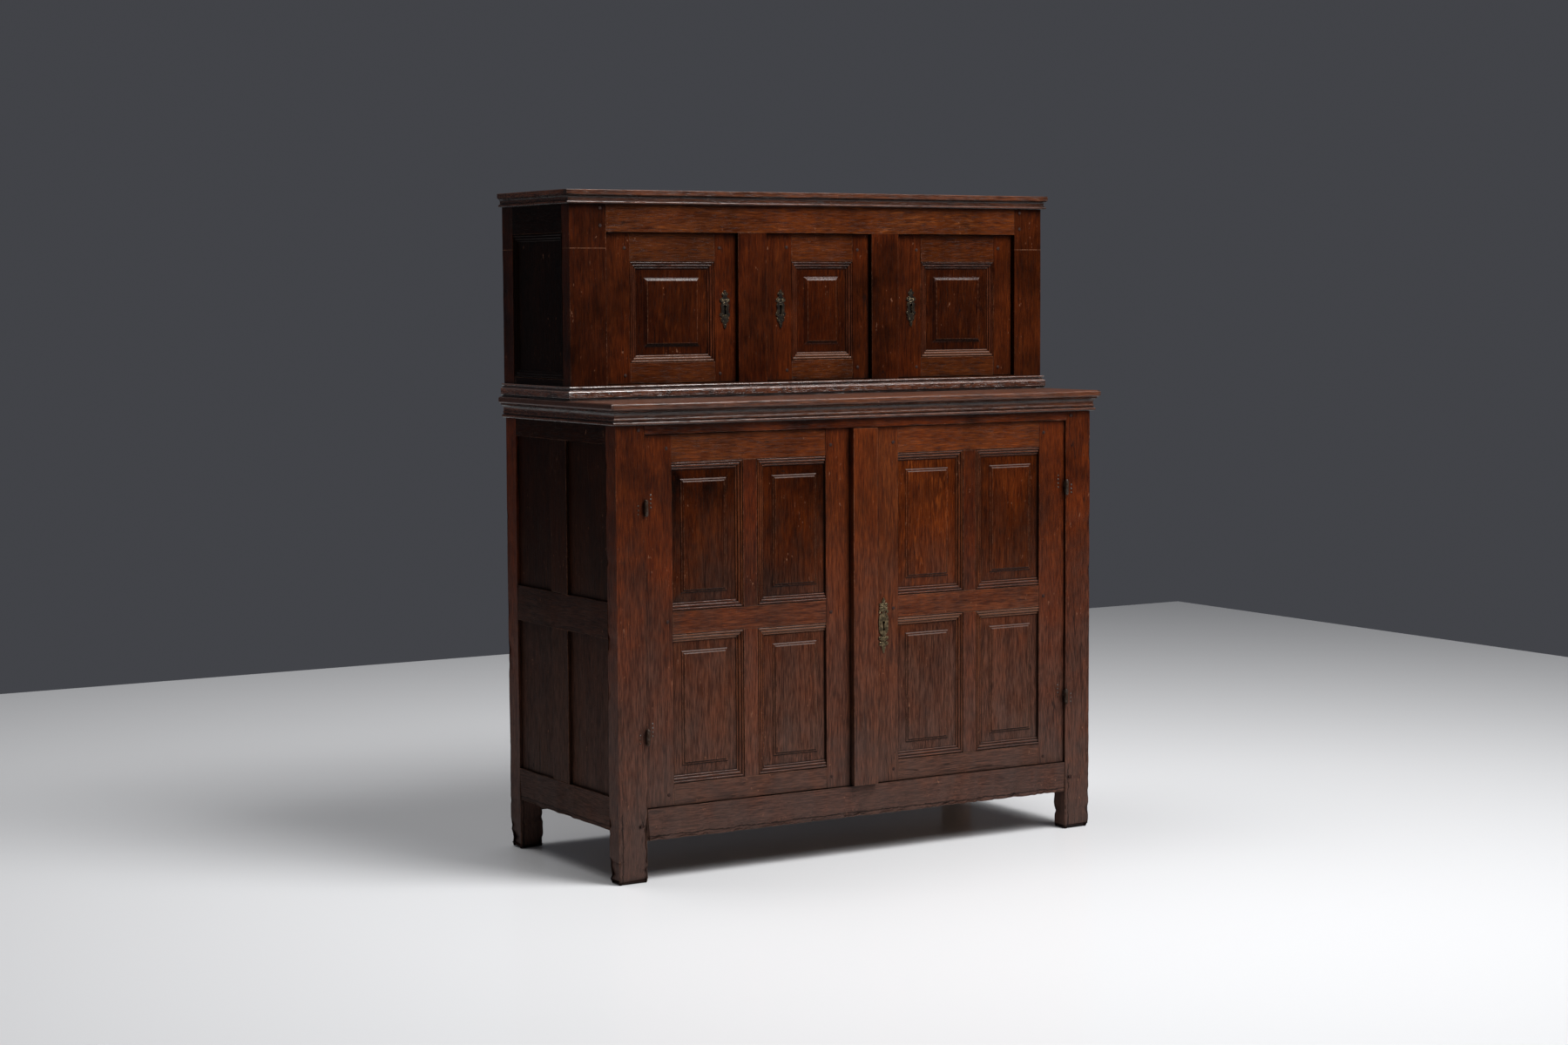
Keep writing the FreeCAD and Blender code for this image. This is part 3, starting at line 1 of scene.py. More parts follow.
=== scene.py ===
"""Looks of a two-stage oak court cupboard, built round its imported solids, in metres.

Each solid is one timber, so each gets its own grain, tone, eased arrises and wear.
"""

import math
import random
from typing import NamedTuple

import bmesh
import bpy
import numpy as np
from mathutils import Matrix, Vector, noise


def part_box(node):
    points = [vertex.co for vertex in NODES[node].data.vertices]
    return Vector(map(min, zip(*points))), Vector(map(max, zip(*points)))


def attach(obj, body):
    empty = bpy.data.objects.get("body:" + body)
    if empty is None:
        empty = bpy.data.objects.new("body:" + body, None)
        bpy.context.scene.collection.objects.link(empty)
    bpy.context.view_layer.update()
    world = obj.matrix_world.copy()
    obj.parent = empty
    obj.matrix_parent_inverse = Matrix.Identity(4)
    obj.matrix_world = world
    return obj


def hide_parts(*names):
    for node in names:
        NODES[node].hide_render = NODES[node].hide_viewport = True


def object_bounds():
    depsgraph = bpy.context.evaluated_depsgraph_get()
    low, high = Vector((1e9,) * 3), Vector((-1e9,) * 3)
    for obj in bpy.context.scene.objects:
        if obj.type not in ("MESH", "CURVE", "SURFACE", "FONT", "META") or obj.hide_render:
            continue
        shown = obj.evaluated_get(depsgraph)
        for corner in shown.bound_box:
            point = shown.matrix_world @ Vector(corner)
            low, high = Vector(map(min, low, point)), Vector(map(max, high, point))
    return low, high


bl_info = {
    "name": "Court cupboard",
    "version": (1, 0, 0),
    "blender": (4, 5, 0),
    "location": "View3D > Sidebar > Cupboard",
    "description": "Oak, iron and brass looks for a two-stage panelled court cupboard",
    "category": "Object",
}

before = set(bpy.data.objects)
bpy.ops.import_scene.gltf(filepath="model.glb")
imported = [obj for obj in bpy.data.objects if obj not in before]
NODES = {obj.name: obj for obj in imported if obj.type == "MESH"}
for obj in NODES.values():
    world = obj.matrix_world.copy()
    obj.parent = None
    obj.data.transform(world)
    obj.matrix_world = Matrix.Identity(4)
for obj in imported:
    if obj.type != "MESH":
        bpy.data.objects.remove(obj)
CAD_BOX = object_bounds()

# Seed of the wander of the timbers, so that every run gives the same shapes
WANDER_SEED = 11
noise.seed_set(WANDER_SEED)

# Camera of the photographed view
CAMERA_PLACE = (-3.4228, -5.5346, 1.2766)
CAMERA_YAW = math.radians(31.308)
CAMERA_PITCH = math.radians(-4.717)
CAMERA_ROLL = math.radians(-0.292)
FOCAL_PIXELS = 3219.8
PHOTO_WIDTH = 1800
FILM_WIDTH = 36.0

# Angle the soft lamps shine over, in degrees
LAMP_SPREAD = 130

# Corners nearer than this are one, and faces within this angle of each other are one flat face
MERGE = 1e-6
FLAT = math.radians(0.4)
# How near to the long edges of a timber's bar its own corners lie
ON_EDGE = MERGE * 20
# Edges that turn more than this are eased, where they run along the timber or are long enough
ARRIS_ANGLE = math.radians(32)
SHORT_EDGE = 0.006
ARRIS_ROUNDNESS = 0.6
# Turns at which the shading breaks, on timber and on cast brass
CREASE_ANGLE = math.radians(30)
CAST_CREASE_ANGLE = math.radians(40)
# Cosine above which a direction counts as along an axis
SQUARE = 0.7
# Waves per metre of the rubbing, the knocks and the wander, the share of the fine rubbing, what the
# knocks have on top of their waves, and how a timber's seed moves all of them
RUB_WAVES = (17, 53)
RUB_FINE = 0.5
KNOCK_WAVES = (24, 110)
KNOCK_BASE = 0.3
WANDER_WAVES = 6
SEED_SHIFT = (3.7, 1.3, 2.1)
# Knocks on the feet and worn heels: up to what height, and how deep at most
FLOOR_WEAR_TOP = 0.155
FLOOR_WEAR = 0.007
HEEL_TOP = 0.022
HEEL_WEAR = 0.006
# How much lighter a level timber is than an upright one, and how much a timber's tone varies
LEVEL_LIFT = 0.55
TONE_SPREAD = 0.7
# How far the grain is moved from timber to timber, along and across
SEED_SPREAD = 9
GRAIN_SPREAD = 5


def colour_choice(name, description, default):
    """A colour that a user can change."""
    return bpy.props.FloatVectorProperty(
        name=name, description=description, default=default, subtype="COLOR", size=3, min=0, max=1)


def amount_choice(name, description, default, unit="LENGTH", least=0):
    """A length or a power that a user can change."""
    return bpy.props.FloatProperty(
        name=name, description=description, default=default, min=least, unit=unit, precision=4)


class TimberLook(bpy.types.PropertyGroup):
    """Sizes and colours of the oak that a user would change."""

    arris: amount_choice("Arris", "Width of the eased edges of the frame timbers", 0.0013)
    fine_arris: amount_choice("Fine arris", "Width of the eased edges of mouldings and panels", 0.0006)
    wear: amount_choice("Wear", "How deep the arrises are rubbed away at most", 0.0016)
    wander: amount_choice("Wander", "How far a face strays from flat", 0.0005)
    station: amount_choice("Station", "Distance between the cross cuts of a timber's mesh", 0.024,
                           least=0.005)
    heart: colour_choice("Heart", "Darkest grain of the polished oak", (0.036, 0.0074, 0.0020))
    body: colour_choice("Body", "Main colour of the polished oak", (0.084, 0.0200, 0.0044))
    pale: colour_choice("Pale", "Lightest grain and the medullary rays", (0.20, 0.055, 0.0115))
    dusty: colour_choice("Dusty", "Faded oak near the floor", (0.088, 0.040, 0.027))
    # Ash, made lighter, is also the colour of the dust and painted highlight on slopes that face up
    ash: colour_choice("Ash", "Greyed oak of the feet and the sill", (0.064, 0.042, 0.036))
    # Rubbed is also laid as a painted highlight on the lightest-toned moulding lengths
    rubbed: colour_choice("Rubbed", "Bare wood on worn arrises", (0.22, 0.100, 0.056))
    # Grime is also the colour of the painted shade in corners, hollows and under profiles
    grime_and_shade: colour_choice("Grime", "Old wax and dirt in corners", (0.007, 0.0032, 0.0022))
    dry: colour_choice("Dry", "Unpolished oak inside and behind", (0.19, 0.115, 0.065))
    dry_dark: colour_choice("Dry dark", "Dark grain of the unpolished oak", (0.075, 0.042, 0.024))


class MetalLook(bpy.types.PropertyGroup):
    """Colours of the ironwork and the escutcheons."""

    iron: colour_choice("Iron", "Old dark iron", (0.15, 0.135, 0.125))
    rust: colour_choice("Rust", "Rust in the hollows of the iron", (0.045, 0.024, 0.014))
    brass: colour_choice("Brass", "Rubbed olive-gold brass", (0.46, 0.34, 0.19))
    tarnish: colour_choice("Tarnish", "Dark patina of the brass", (0.050, 0.036, 0.018))
    soot: colour_choice("Soot", "Near-black patina of the small escutcheons", (0.013, 0.010, 0.008))


class StudioLook(bpy.types.PropertyGroup):
    """The plain floor and the soft lamps."""

    floor: colour_choice("Floor", "Colour of the floor", (0.86, 0.863, 0.875))
    backdrop: colour_choice("Backdrop", "Colour seen behind the floor", (0.054, 0.056, 0.064))
    air: colour_choice("Air", "Colour of the light from all round", (0.07, 0.072, 0.078))
    key: amount_choice("Key", "Power of the lamp at the right", 54, "POWER")
    fill: amount_choice("Fill", "Power of the lamp in front", 50, "POWER")
    top: amount_choice("Top", "Power of the lamp overhead", 114, "POWER")
    ceiling: amount_choice("Ceiling", "Power of the lamp above and behind", 55, "POWER")


def solids_of(node):
    """The separate solids of a CAD node: (corner points, triangles) of each, in a steady order.

    Solids that touch share corner places, so faces are joined only along edges where their numbers
    lie next to each other.
    """
    mesh = NODES[node].data
    points = np.zeros(len(mesh.vertices) * 3)
    mesh.vertices.foreach_get("co", points)
    points = points.reshape(-1, 3)
    keys = [tuple(row) for row in np.round(points / MERGE).astype(np.int64).tolist()]
    parents = list(range(len(mesh.polygons)))

    def root(number):
        while parents[number] != number:
            parents[number] = parents[parents[number]]
            number = parents[number]
        return number

    sides = {}
    for face in mesh.polygons:
        ring = [keys[corner] for corner in face.vertices]
        for start, end in zip(ring, ring[1:] + ring[:1]):
            sides.setdefault((min(start, end), max(start, end)), []).append(face.index)
    for numbers in sides.values():
        numbers.sort()
        for one, other in zip(numbers[0::2], numbers[1::2]):
            parents[root(one)] = root(other)
    groups = {}
    for face in mesh.polygons:
        groups.setdefault(root(face.index), []).append(face)
    solids = []
    for faces in groups.values():
        places, corners, triangles = {}, [], []
        for face in faces:
            triangle = []
            for corner in face.vertices:
                if keys[corner] not in places:
                    places[keys[corner]] = len(corners)
                    corners.append(points[corner])
                triangle.append(places[keys[corner]])
            if len(set(triangle)) == 3:
                triangles.append(triangle)
        solids.append((np.array(corners), triangles))
    return solids


def bar_ends(corners, order):
    """Low and high corner of a timber without its tenons, read at the arrises of its bar."""
    low, high = corners.min(0), corners.max(0)
    at_arris = np.ones(len(corners), bool)
    for axis in order[1:]:
        at_arris &= np.minimum(corners[:, axis] - low[axis], high[axis] - corners[:, axis]) < ON_EDGE
    if at_arris.sum() >= 4:
        along = corners[at_arris, order[0]]
        low[order[0]], high[order[0]] = along.min(), along.max()
    return low, high


def sawn_timber(corners, triangles, along, station):
    """One timber's mesh with whole flat faces, cross-cut at each station along the axis of that number."""
    timber = bmesh.new()
    made = [timber.verts.new(corner) for corner in corners]
    for triangle in triangles:
        timber.faces.new([made[number] for number in triangle])
    timber.normal_update()
    bmesh.ops.dissolve_limit(timber, angle_limit=FLAT, verts=timber.verts[:], edges=timber.edges[:])
    low, high = corners.min(0), corners.max(0)
    length = high[along] - low[along]
    count = int(length / station)
    axis = Vector([1.0 if number == along else 0.0 for number in range(3)])
    for number in range(1, count):
        place = Vector(low)
        place[along] = low[along] + length * number / count
        bmesh.ops.bisect_plane(timber, geom=timber.verts[:] + timber.edges[:] + timber.faces[:],
                               plane_co=place, plane_no=axis, dist=MERGE)
    timber.normal_update()
    return timber


def ease_arrises(timber, along, arris, wear, seed):
    """Ease the outer edges, rub and knock them unevenly, and give back the numbers of their faces."""
    arrises = []
    for edge in timber.edges:
        if len(edge.link_faces) != 2 or not edge.is_convex or edge.calc_face_angle() < ARRIS_ANGLE:
            continue
        run = edge.verts[1].co - edge.verts[0].co
        if run.length > SHORT_EDGE or abs(run.normalized()[along]) > SQUARE:
            arrises.append(edge)
    if not arrises:
        return set()
    result = bmesh.ops.bevel(timber, geom=arrises, offset=arris, offset_type="OFFSET", segments=2,
                             profile=ARRIS_ROUNDNESS, affect="EDGES", clamp_overlap=True)
    timber.normal_update()
    timber.faces.index_update()
    timber.verts.index_update()
    shift = Vector([seed * turn for turn in SEED_SHIFT])
    for corner in {corner.index: corner for face in result["faces"] for corner in face.verts}.values():
        broad, fine = (noise.noise(corner.co * waves + shift) for waves in RUB_WAVES)
        rub = broad + RUB_FINE * fine
        knock = KNOCK_BASE + noise.noise(corner.co * KNOCK_WAVES[0] - shift)
        knock = max(knock + noise.noise(corner.co * KNOCK_WAVES[1] + shift), 0.0)
        knock *= max(1 - corner.co.z / FLOOR_WEAR_TOP, 0.0) ** 0.5 * FLOOR_WEAR
        heel = max(1 - corner.co.z / HEEL_TOP, 0.0) ** 2 * HEEL_WEAR * (1 + rub)
        corner.co -= corner.normal * (wear * max(rub, 0.0) ** 1.5 + max(knock, heel))
    return {face.index for face in result["faces"] if face.is_valid}


def stray(timber, wander, seed):
    """Move the faces slightly off flat, without leaving the box of the solids."""
    for corner in timber.verts:
        drift = noise.noise_vector(corner.co * WANDER_WAVES + Vector((seed, -seed, 2 * seed)))
        moved = corner.co + drift * wander
        corner.co = [min(max(spot, low), high) for spot, low, high in zip(moved, *CAD_BOX)]
    timber.normal_update()


def reading_order(solid):
    """Sorts solids from the top row down, each row from the left."""
    middle = (solid[0].min(0) + solid[0].max(0)) / 2
    return -round(middle[2], 1), middle[0]


# What each timber's mesh tells its finish: the kind of value, and whether corners or faces hold it
TIMBER_MARKS = {
    "grain": ("FLOAT_VECTOR", "POINT"),
    "from_low": ("FLOAT_VECTOR", "POINT"),
    "from_high": ("FLOAT_VECTOR", "POINT"),
    "tone": ("FLOAT", "POINT"),
    "end_grain": ("FLOAT", "FACE"),
    "arris": ("FLOAT", "FACE"),
}


def write_mark(mesh, name, values):
    """Write one of the marks that a finish reads on a mesh."""
    kind, domain = TIMBER_MARKS[name]
    layer = mesh.attributes.new(name, kind, domain)
    layer.data.foreach_set("vector" if kind == "FLOAT_VECTOR" else "value",
                           np.array(values, np.float32).ravel())


def finished_piece(name, mesh, finish, crease=None):
    """An object of the mesh in one finish, shaded smooth but for edges sharper than the crease."""
    mesh.polygons.foreach_set("use_smooth", [True] * len(mesh.polygons))
    if crease:
        mesh.set_sharp_from_angle(angle=crease)
    mesh.materials.append(finish)
    piece = bpy.data.objects.new(name, mesh)
    bpy.context.scene.collection.objects.link(piece)
    return piece


def dress(name, node, body, slot, finish, upright=False, fine=False, station=1.0, rough=1.0, wander=1.0,
          tones=()):
    """A piece that stands for a CAD node: each solid reworked as a timber with grain of its own.

    Tones, where given, are how light each solid is from the top row down, each row from the left; some given
    tones are painted light and shade.
    """
    look = bpy.context.scene.cupboard_timber
    arris = (look.fine_arris if fine else look.arris) * max(rough, 1)
    draw = random.Random(name)
    given = iter(tones)
    points, faces = [], []
    marks = {told: [] for told in TIMBER_MARKS}
    for corners, triangles in sorted(solids_of(node), key=reading_order):
        spans = corners.max(0) - corners.min(0)
        order = sorted(range(3), key=lambda number: -spans[number])
        if upright:
            order = [2] + [number for number in order if number != 2]
        seed = draw.uniform(0, SEED_SPREAD)
        timber = sawn_timber(corners, triangles, order[0], look.station * station)
        eased = ease_arrises(timber, order[0], arris, look.wear * rough, seed)
        stray(timber, look.wander * rough * wander, seed)
        low, high = bar_ends(corners, order)
        start = len(points)
        tone = next(given, draw.uniform(0, TONE_SPREAD) + (LEVEL_LIFT if order[0] == 0 else 0))
        shift = (seed, draw.uniform(0, GRAIN_SPREAD), draw.uniform(0, GRAIN_SPREAD))
        flip = draw.choice((-1, 1))
        for corner in timber.verts:
            place = corner.co
            points.append(tuple(place))
            along, across, through = (place[number] for number in order)
            marks["grain"].append((along * flip + shift[0], across + shift[1], through + shift[2]))
            marks["from_low"].append([place[number] - low[number] for number in order])
            marks["from_high"].append([high[number] - place[number] for number in order])
            marks["tone"].append(tone)
        for face in timber.faces:
            faces.append([start + corner.index for corner in face.verts])
            marks["end_grain"].append(1.0 if abs(face.normal[order[0]]) > SQUARE else 0.0)
            marks["arris"].append(1.0 if face.index in eased else 0.0)
        timber.free()
    mesh = bpy.data.meshes.new(name)
    mesh.from_pydata(points, [], faces)
    for told, values in marks.items():
        write_mark(mesh, told, values)
    piece = finished_piece(name, mesh, finish, CREASE_ANGLE)
    mesh.validate()
    weighted = piece.modifiers.new("Weighted", "WEIGHTED_NORMAL")
    weighted.keep_sharp = True
    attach(piece, body)
    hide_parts(node)
    return piece


BLACK = (0.0, 0.0, 0.0)
WHITE = (1.0, 1.0, 1.0)
# Cloudy patterns: waves per metre each way, then detail, roughness and distortion where they aren't 2,
# 0.5 and 0. Those up to saw lie along, across and through a timber, and the others in x, y and z.
PATTERNS = {
    "sway": [(2.6, 8, 8)],
    "broad": [(1.1, 26, 26), 2, 0.55],
    "middle": [(9, 140, 140), 2, 0.55],
    "fine": [(34, 400, 400), 2, 0.55],
    "pores": [(38, 900, 900), 1],
    "flecks": [(26, 150, 150), 1, 0.5, 0.5],
    "figure": [(2.6, 17, 17), 1],
    "drift": [(1.3, 34, 34), 1],
    "planing": [(11, 34, 34)],
    "dry_broad": [(2, 55, 55), 3, 0.6, 0.3],
    "dry_fine": [(11, 500, 500)],
    "saw": [(210, 9, 9), 1],
    "cloud": [(5, 5, 3.4), 4, 0.62],
    "blotch": [(17, 17, 11), 4, 0.66],
    "ember": [(9, 9, 4), 3],
    "dried": [(3, 3, 2)],
    "crack": [(26, 26, 40), 4, 0.7],
    "burn": [(44, 30, 60), 4, 0.7],
    "specks": [(170, 170, 130), 2, 0.7],
    "scuffs": [(150, 150, 60), 2, 0.75],
    "patch": [(11, 11, 8)],
    "stain": [(4, 4, 3), 4, 0.65],
    "patina": [(130, 130, 130), 4, 0.65],
    "pits": [(900, 900, 900)],
    "rings": [(520, 90, 760), 3, 0.6],
}


def scaled(colour, factor):
    """A colour made lighter or darker by a factor."""
    return tuple(factor * part for part in colour)


class Finish:
    """One material's node tree, built up from small steps."""

    def __init__(self, name):
        self.material = bpy.data.materials.new(name)
        self.material.use_nodes = True
        self.tree = self.material.node_tree
        self.tree.nodes.clear()
        self.shader = self.tree.nodes.new("ShaderNodeBsdfPrincipled")
        output = self.tree.nodes.new("ShaderNodeOutputMaterial")
        self.tree.links.new(self.shader.outputs["BSDF"], output.inputs["Surface"])
        self.place = self.step("TexCoord", output="Object")
        self.colour = BLACK

    def feed(self, socket, value):
        """Set a socket, or link it where the value comes from another node."""
        if isinstance(value, bpy.types.NodeSocket):
            self.tree.links.new(value, socket)
        elif hasattr(value, "__len__") and len(value) == 3 and socket.type == "RGBA":
            socket.default_value = (*value, 1.0)
        else:
            socket.default_value = value

    def step(self, kind, inputs=(), output=0, **settings):
        """An output of a new node, whose inputs are given as pairs of a socket and its value."""
        node = self.tree.nodes.new("ShaderNode" + kind)
        for name, value in settings.items():
            setattr(node, name, value)
        for socket, value in inputs:
            self.feed(node.inputs[socket], value)
        return node.outputs[output]

    def mark(self, name):
        """One of the marks that a timber's mesh carries."""
        output = "Vector" if TIMBER_MARKS[name][0] == "FLOAT_VECTOR" else "Fac"
        return self.step("Attribute", output=output, attribute_name=name)

    def math(self, operation, *values, clamp=False):
        return self.step("Math", enumerate(values), operation=operation, use_clamp=clamp)

    def product(self, first, second):
        return self.math("MULTIPLY", first, second)

    def total(self, first, second):
        return self.math("ADD", first, second)

    def greater(self, first, second):
        return self.math("MAXIMUM", first, second)

    def slope(self, value, rise, base, clamp=False):
        """The value times the rise, on top of the base."""
        return self.math("MULTIPLY_ADD", value, rise, base, clamp=clamp)

    def off(self, value, centre):
        """How far a value is from a centre, either way."""
        return self.math("ABSOLUTE", self.math("SUBTRACT", value, centre))

    def vector(self, operation, first, second):
        return self.step("VectorMath", ((0, first), (1, second)), operation=operation)

    def parts(self, vector):
        """The three parts of a vector."""
        return self.step("SeparateXYZ", ((0, vector),)).node.outputs[:3]

    def pattern(self, name, grain=None, output="Fac"):
        """One of the cloudy patterns, over the place or along a grain."""
        waves, *texture = PATTERNS[name]
        place = self.vector("MULTIPLY", grain or self.place, waves)
        inputs = [("Vector", place), ("Scale", 1.0), *zip(("Detail", "Roughness", "Distortion"), texture)]
        return self.step("TexNoise", inputs, output)

    def span(self, value, low, high, to_low=0.0, to_high=1.0):
        """A smooth step from to_low at low to to_high at high."""
        return self.step("MapRange", (("Value", value), ("From Min", low), ("From Max", high),
                                      ("To Min", to_low), ("To Max", to_high)),
                         interpolation_type="SMOOTHSTEP")

    def mix(self, share, first, second, blend="MIX"):
        return self.step("Mix", ((0, share), (6, first), (7, second)), 2, data_type="RGBA", blend_type=blend)

    def lay(self, share, paint, blend="MIX"):
        """Lay a share of a colour over what is there."""
        self.colour = self.mix(share, self.colour, paint, blend)

    def darken(self, level):
        """Multiply what is there by a grey level."""
        self.lay(1.0, self.mix(level, BLACK, WHITE), "MULTIPLY")

    def bump(self, height, strength, distance, *below):
        inputs = (("Strength", strength), ("Distance", distance), ("Height", height))
        return self.step("Bump", inputs + tuple(("Normal", normal) for normal in below))

    def crevice(self, reach):
        """1 on open faces, towards 0 in corners nearer than the reach."""
        return self.step("AmbientOcclusion", (("Distance", reach),), "AO", samples=4)

    def edge_distance(self):
        """Distances on a face from the nearest edge of the timber's bar, and along it from its end."""
        near = self.vector("MINIMUM", self.mark("from_low"), self.mark("from_high"))
        along, across, depth = self.parts(near)
        smaller = self.math("MINIMUM", along, across)
        larger = self.greater(along, across)
        return self.greater(smaller, self.math("MINIMUM", larger, depth)), along

    def coat(self, roughness, normal):
        """Give the shader its colour, roughness and relief, and hand the material over."""
        for name, value in (("Base Color", self.colour), ("Roughness", roughness), ("Normal", normal)):
            self.feed(self.shader.inputs[name], value)
        return self.material


class OakWays(NamedTuple):
    """How the oak of one kind of piece is finished: shares, apart from the two heights at the end."""

    tint: float  # lightness of the polish
    gloss: float  # roughness of the polish
    shine: float  # strength of its mirror light
    streak: float = 0.9  # strength of the broad grain
    rays: float = 0.0  # strength of the medullary rays
    fade: float = 0.0  # greying towards the floor
    dust: float = 0.0  # greying all over
    hollow_dirt_and_shade: float = 0.0  # dirt and painted shade in the hollows of a profile
    sharp: float = 0.5  # openness up to which that darkening is full
    ledge_dust_and_highlight: float = 0.0  # dust and painted highlight on slopes that face up, under the hollow darkening
    step: float = 0.0  # the same, over the dirt
    dust_and_highlight_lightness: float = 1.0  # lightness of that dust and painted highlight
    mellow: float = None  # redness, in place of that by tone
    tone_sets_dust_and_highlight: bool = False  # whether a length's tone sets its dust and painted highlight, and paints highlights on the lightest lengths
    blotched: bool = False  # whether it is burnt in patches
    split: float = None  # height of a long crack over the timber's low edge
    scribed: float = None  # height of a scribed line over the floor


# The base kind's high tint and dust lightness are partly worn bare wood and partly painted highlight
# The low tints of the side, upper_side, upper_frame, upper_post and small_panel kinds are painted shade,
# darkening the sides and the set-back upper stage
OAK_KINDS = {
    "frame": OakWays(0.98, 0.34, 0.12, rays=0.25, fade=0.9, split=0.009),
    "upper_frame": OakWays(0.60, 0.3, 0.1, 1.0, rays=0.35),
    "upper_post": OakWays(0.48, 0.3, 0.1, 1.0, rays=0.35, scribed=1.3725),
    "panel": OakWays(0.64, 0.24, 0.08, 1.0, rays=0.6, fade=1.0, hollow_dirt_and_shade=0.95, sharp=0.84, step=0.9,
                     mellow=0.8),
    "small_panel": OakWays(0.35, 0.18, 0.18, 1.0, rays=1.1, hollow_dirt_and_shade=0.95, sharp=0.8, step=0.5, mellow=1.0),
    "side": OakWays(0.15, 0.4, 0.05, rays=0.2, fade=0.6, split=0.009),
    "upper_side": OakWays(0.05, 0.3, 0.05, hollow_dirt_and_shade=0.5),
    "moulding": OakWays(0.84, 0.2, 0.14, 0.7, fade=0.6, dust=0.2, hollow_dirt_and_shade=0.9, ledge_dust_and_highlight=0.7, dust_and_highlight_lightness=1.35,
                        tone_sets_dust_and_highlight=True),
    "cornice": OakWays(0.75, 0.24, 0.3, 0.8, fade=0.4, dust=0.5, hollow_dirt_and_shade=0.9),
    "base": OakWays(2.2, 0.16, 1.0, 0.8, fade=0.4, dust=0.3, hollow_dirt_and_shade=0.9, ledge_dust_and_highlight=0.8, dust_and_highlight_lightness=2.0, blotched=True),
    "top": OakWays(1.05, 0.3, 0.3, 0.8, rays=0.3, fade=0.4, dust=0.6),
}

# Tints of the places where the polish has warmed, and of the darker timbers
EMBER = (1.22, 1.02, 0.7)
REDDER = (1.05, 0.80, 0.62)
# How much stronger the rays are in the lightest timbers
FIGURED = 3.0
# How much lighter than ash the dust and painted highlight on ledges are
LEDGE_LIGHT = 1.4
# How far the fibres sway off straight, along, across and through the timber
SWAY_REACH = (0, 0.014, 0.014)
# How far the long cracks wander up and down
CRACK_REACH = 0.014
# Reach of the dirt and painted shade in corners and in the hollows of a profile
CORNER_REACH = 0.02
HOLLOW_REACH = 0.0055
# Normals' z between which a slope begins to face up
SLOPE = (0.35, 0.66)


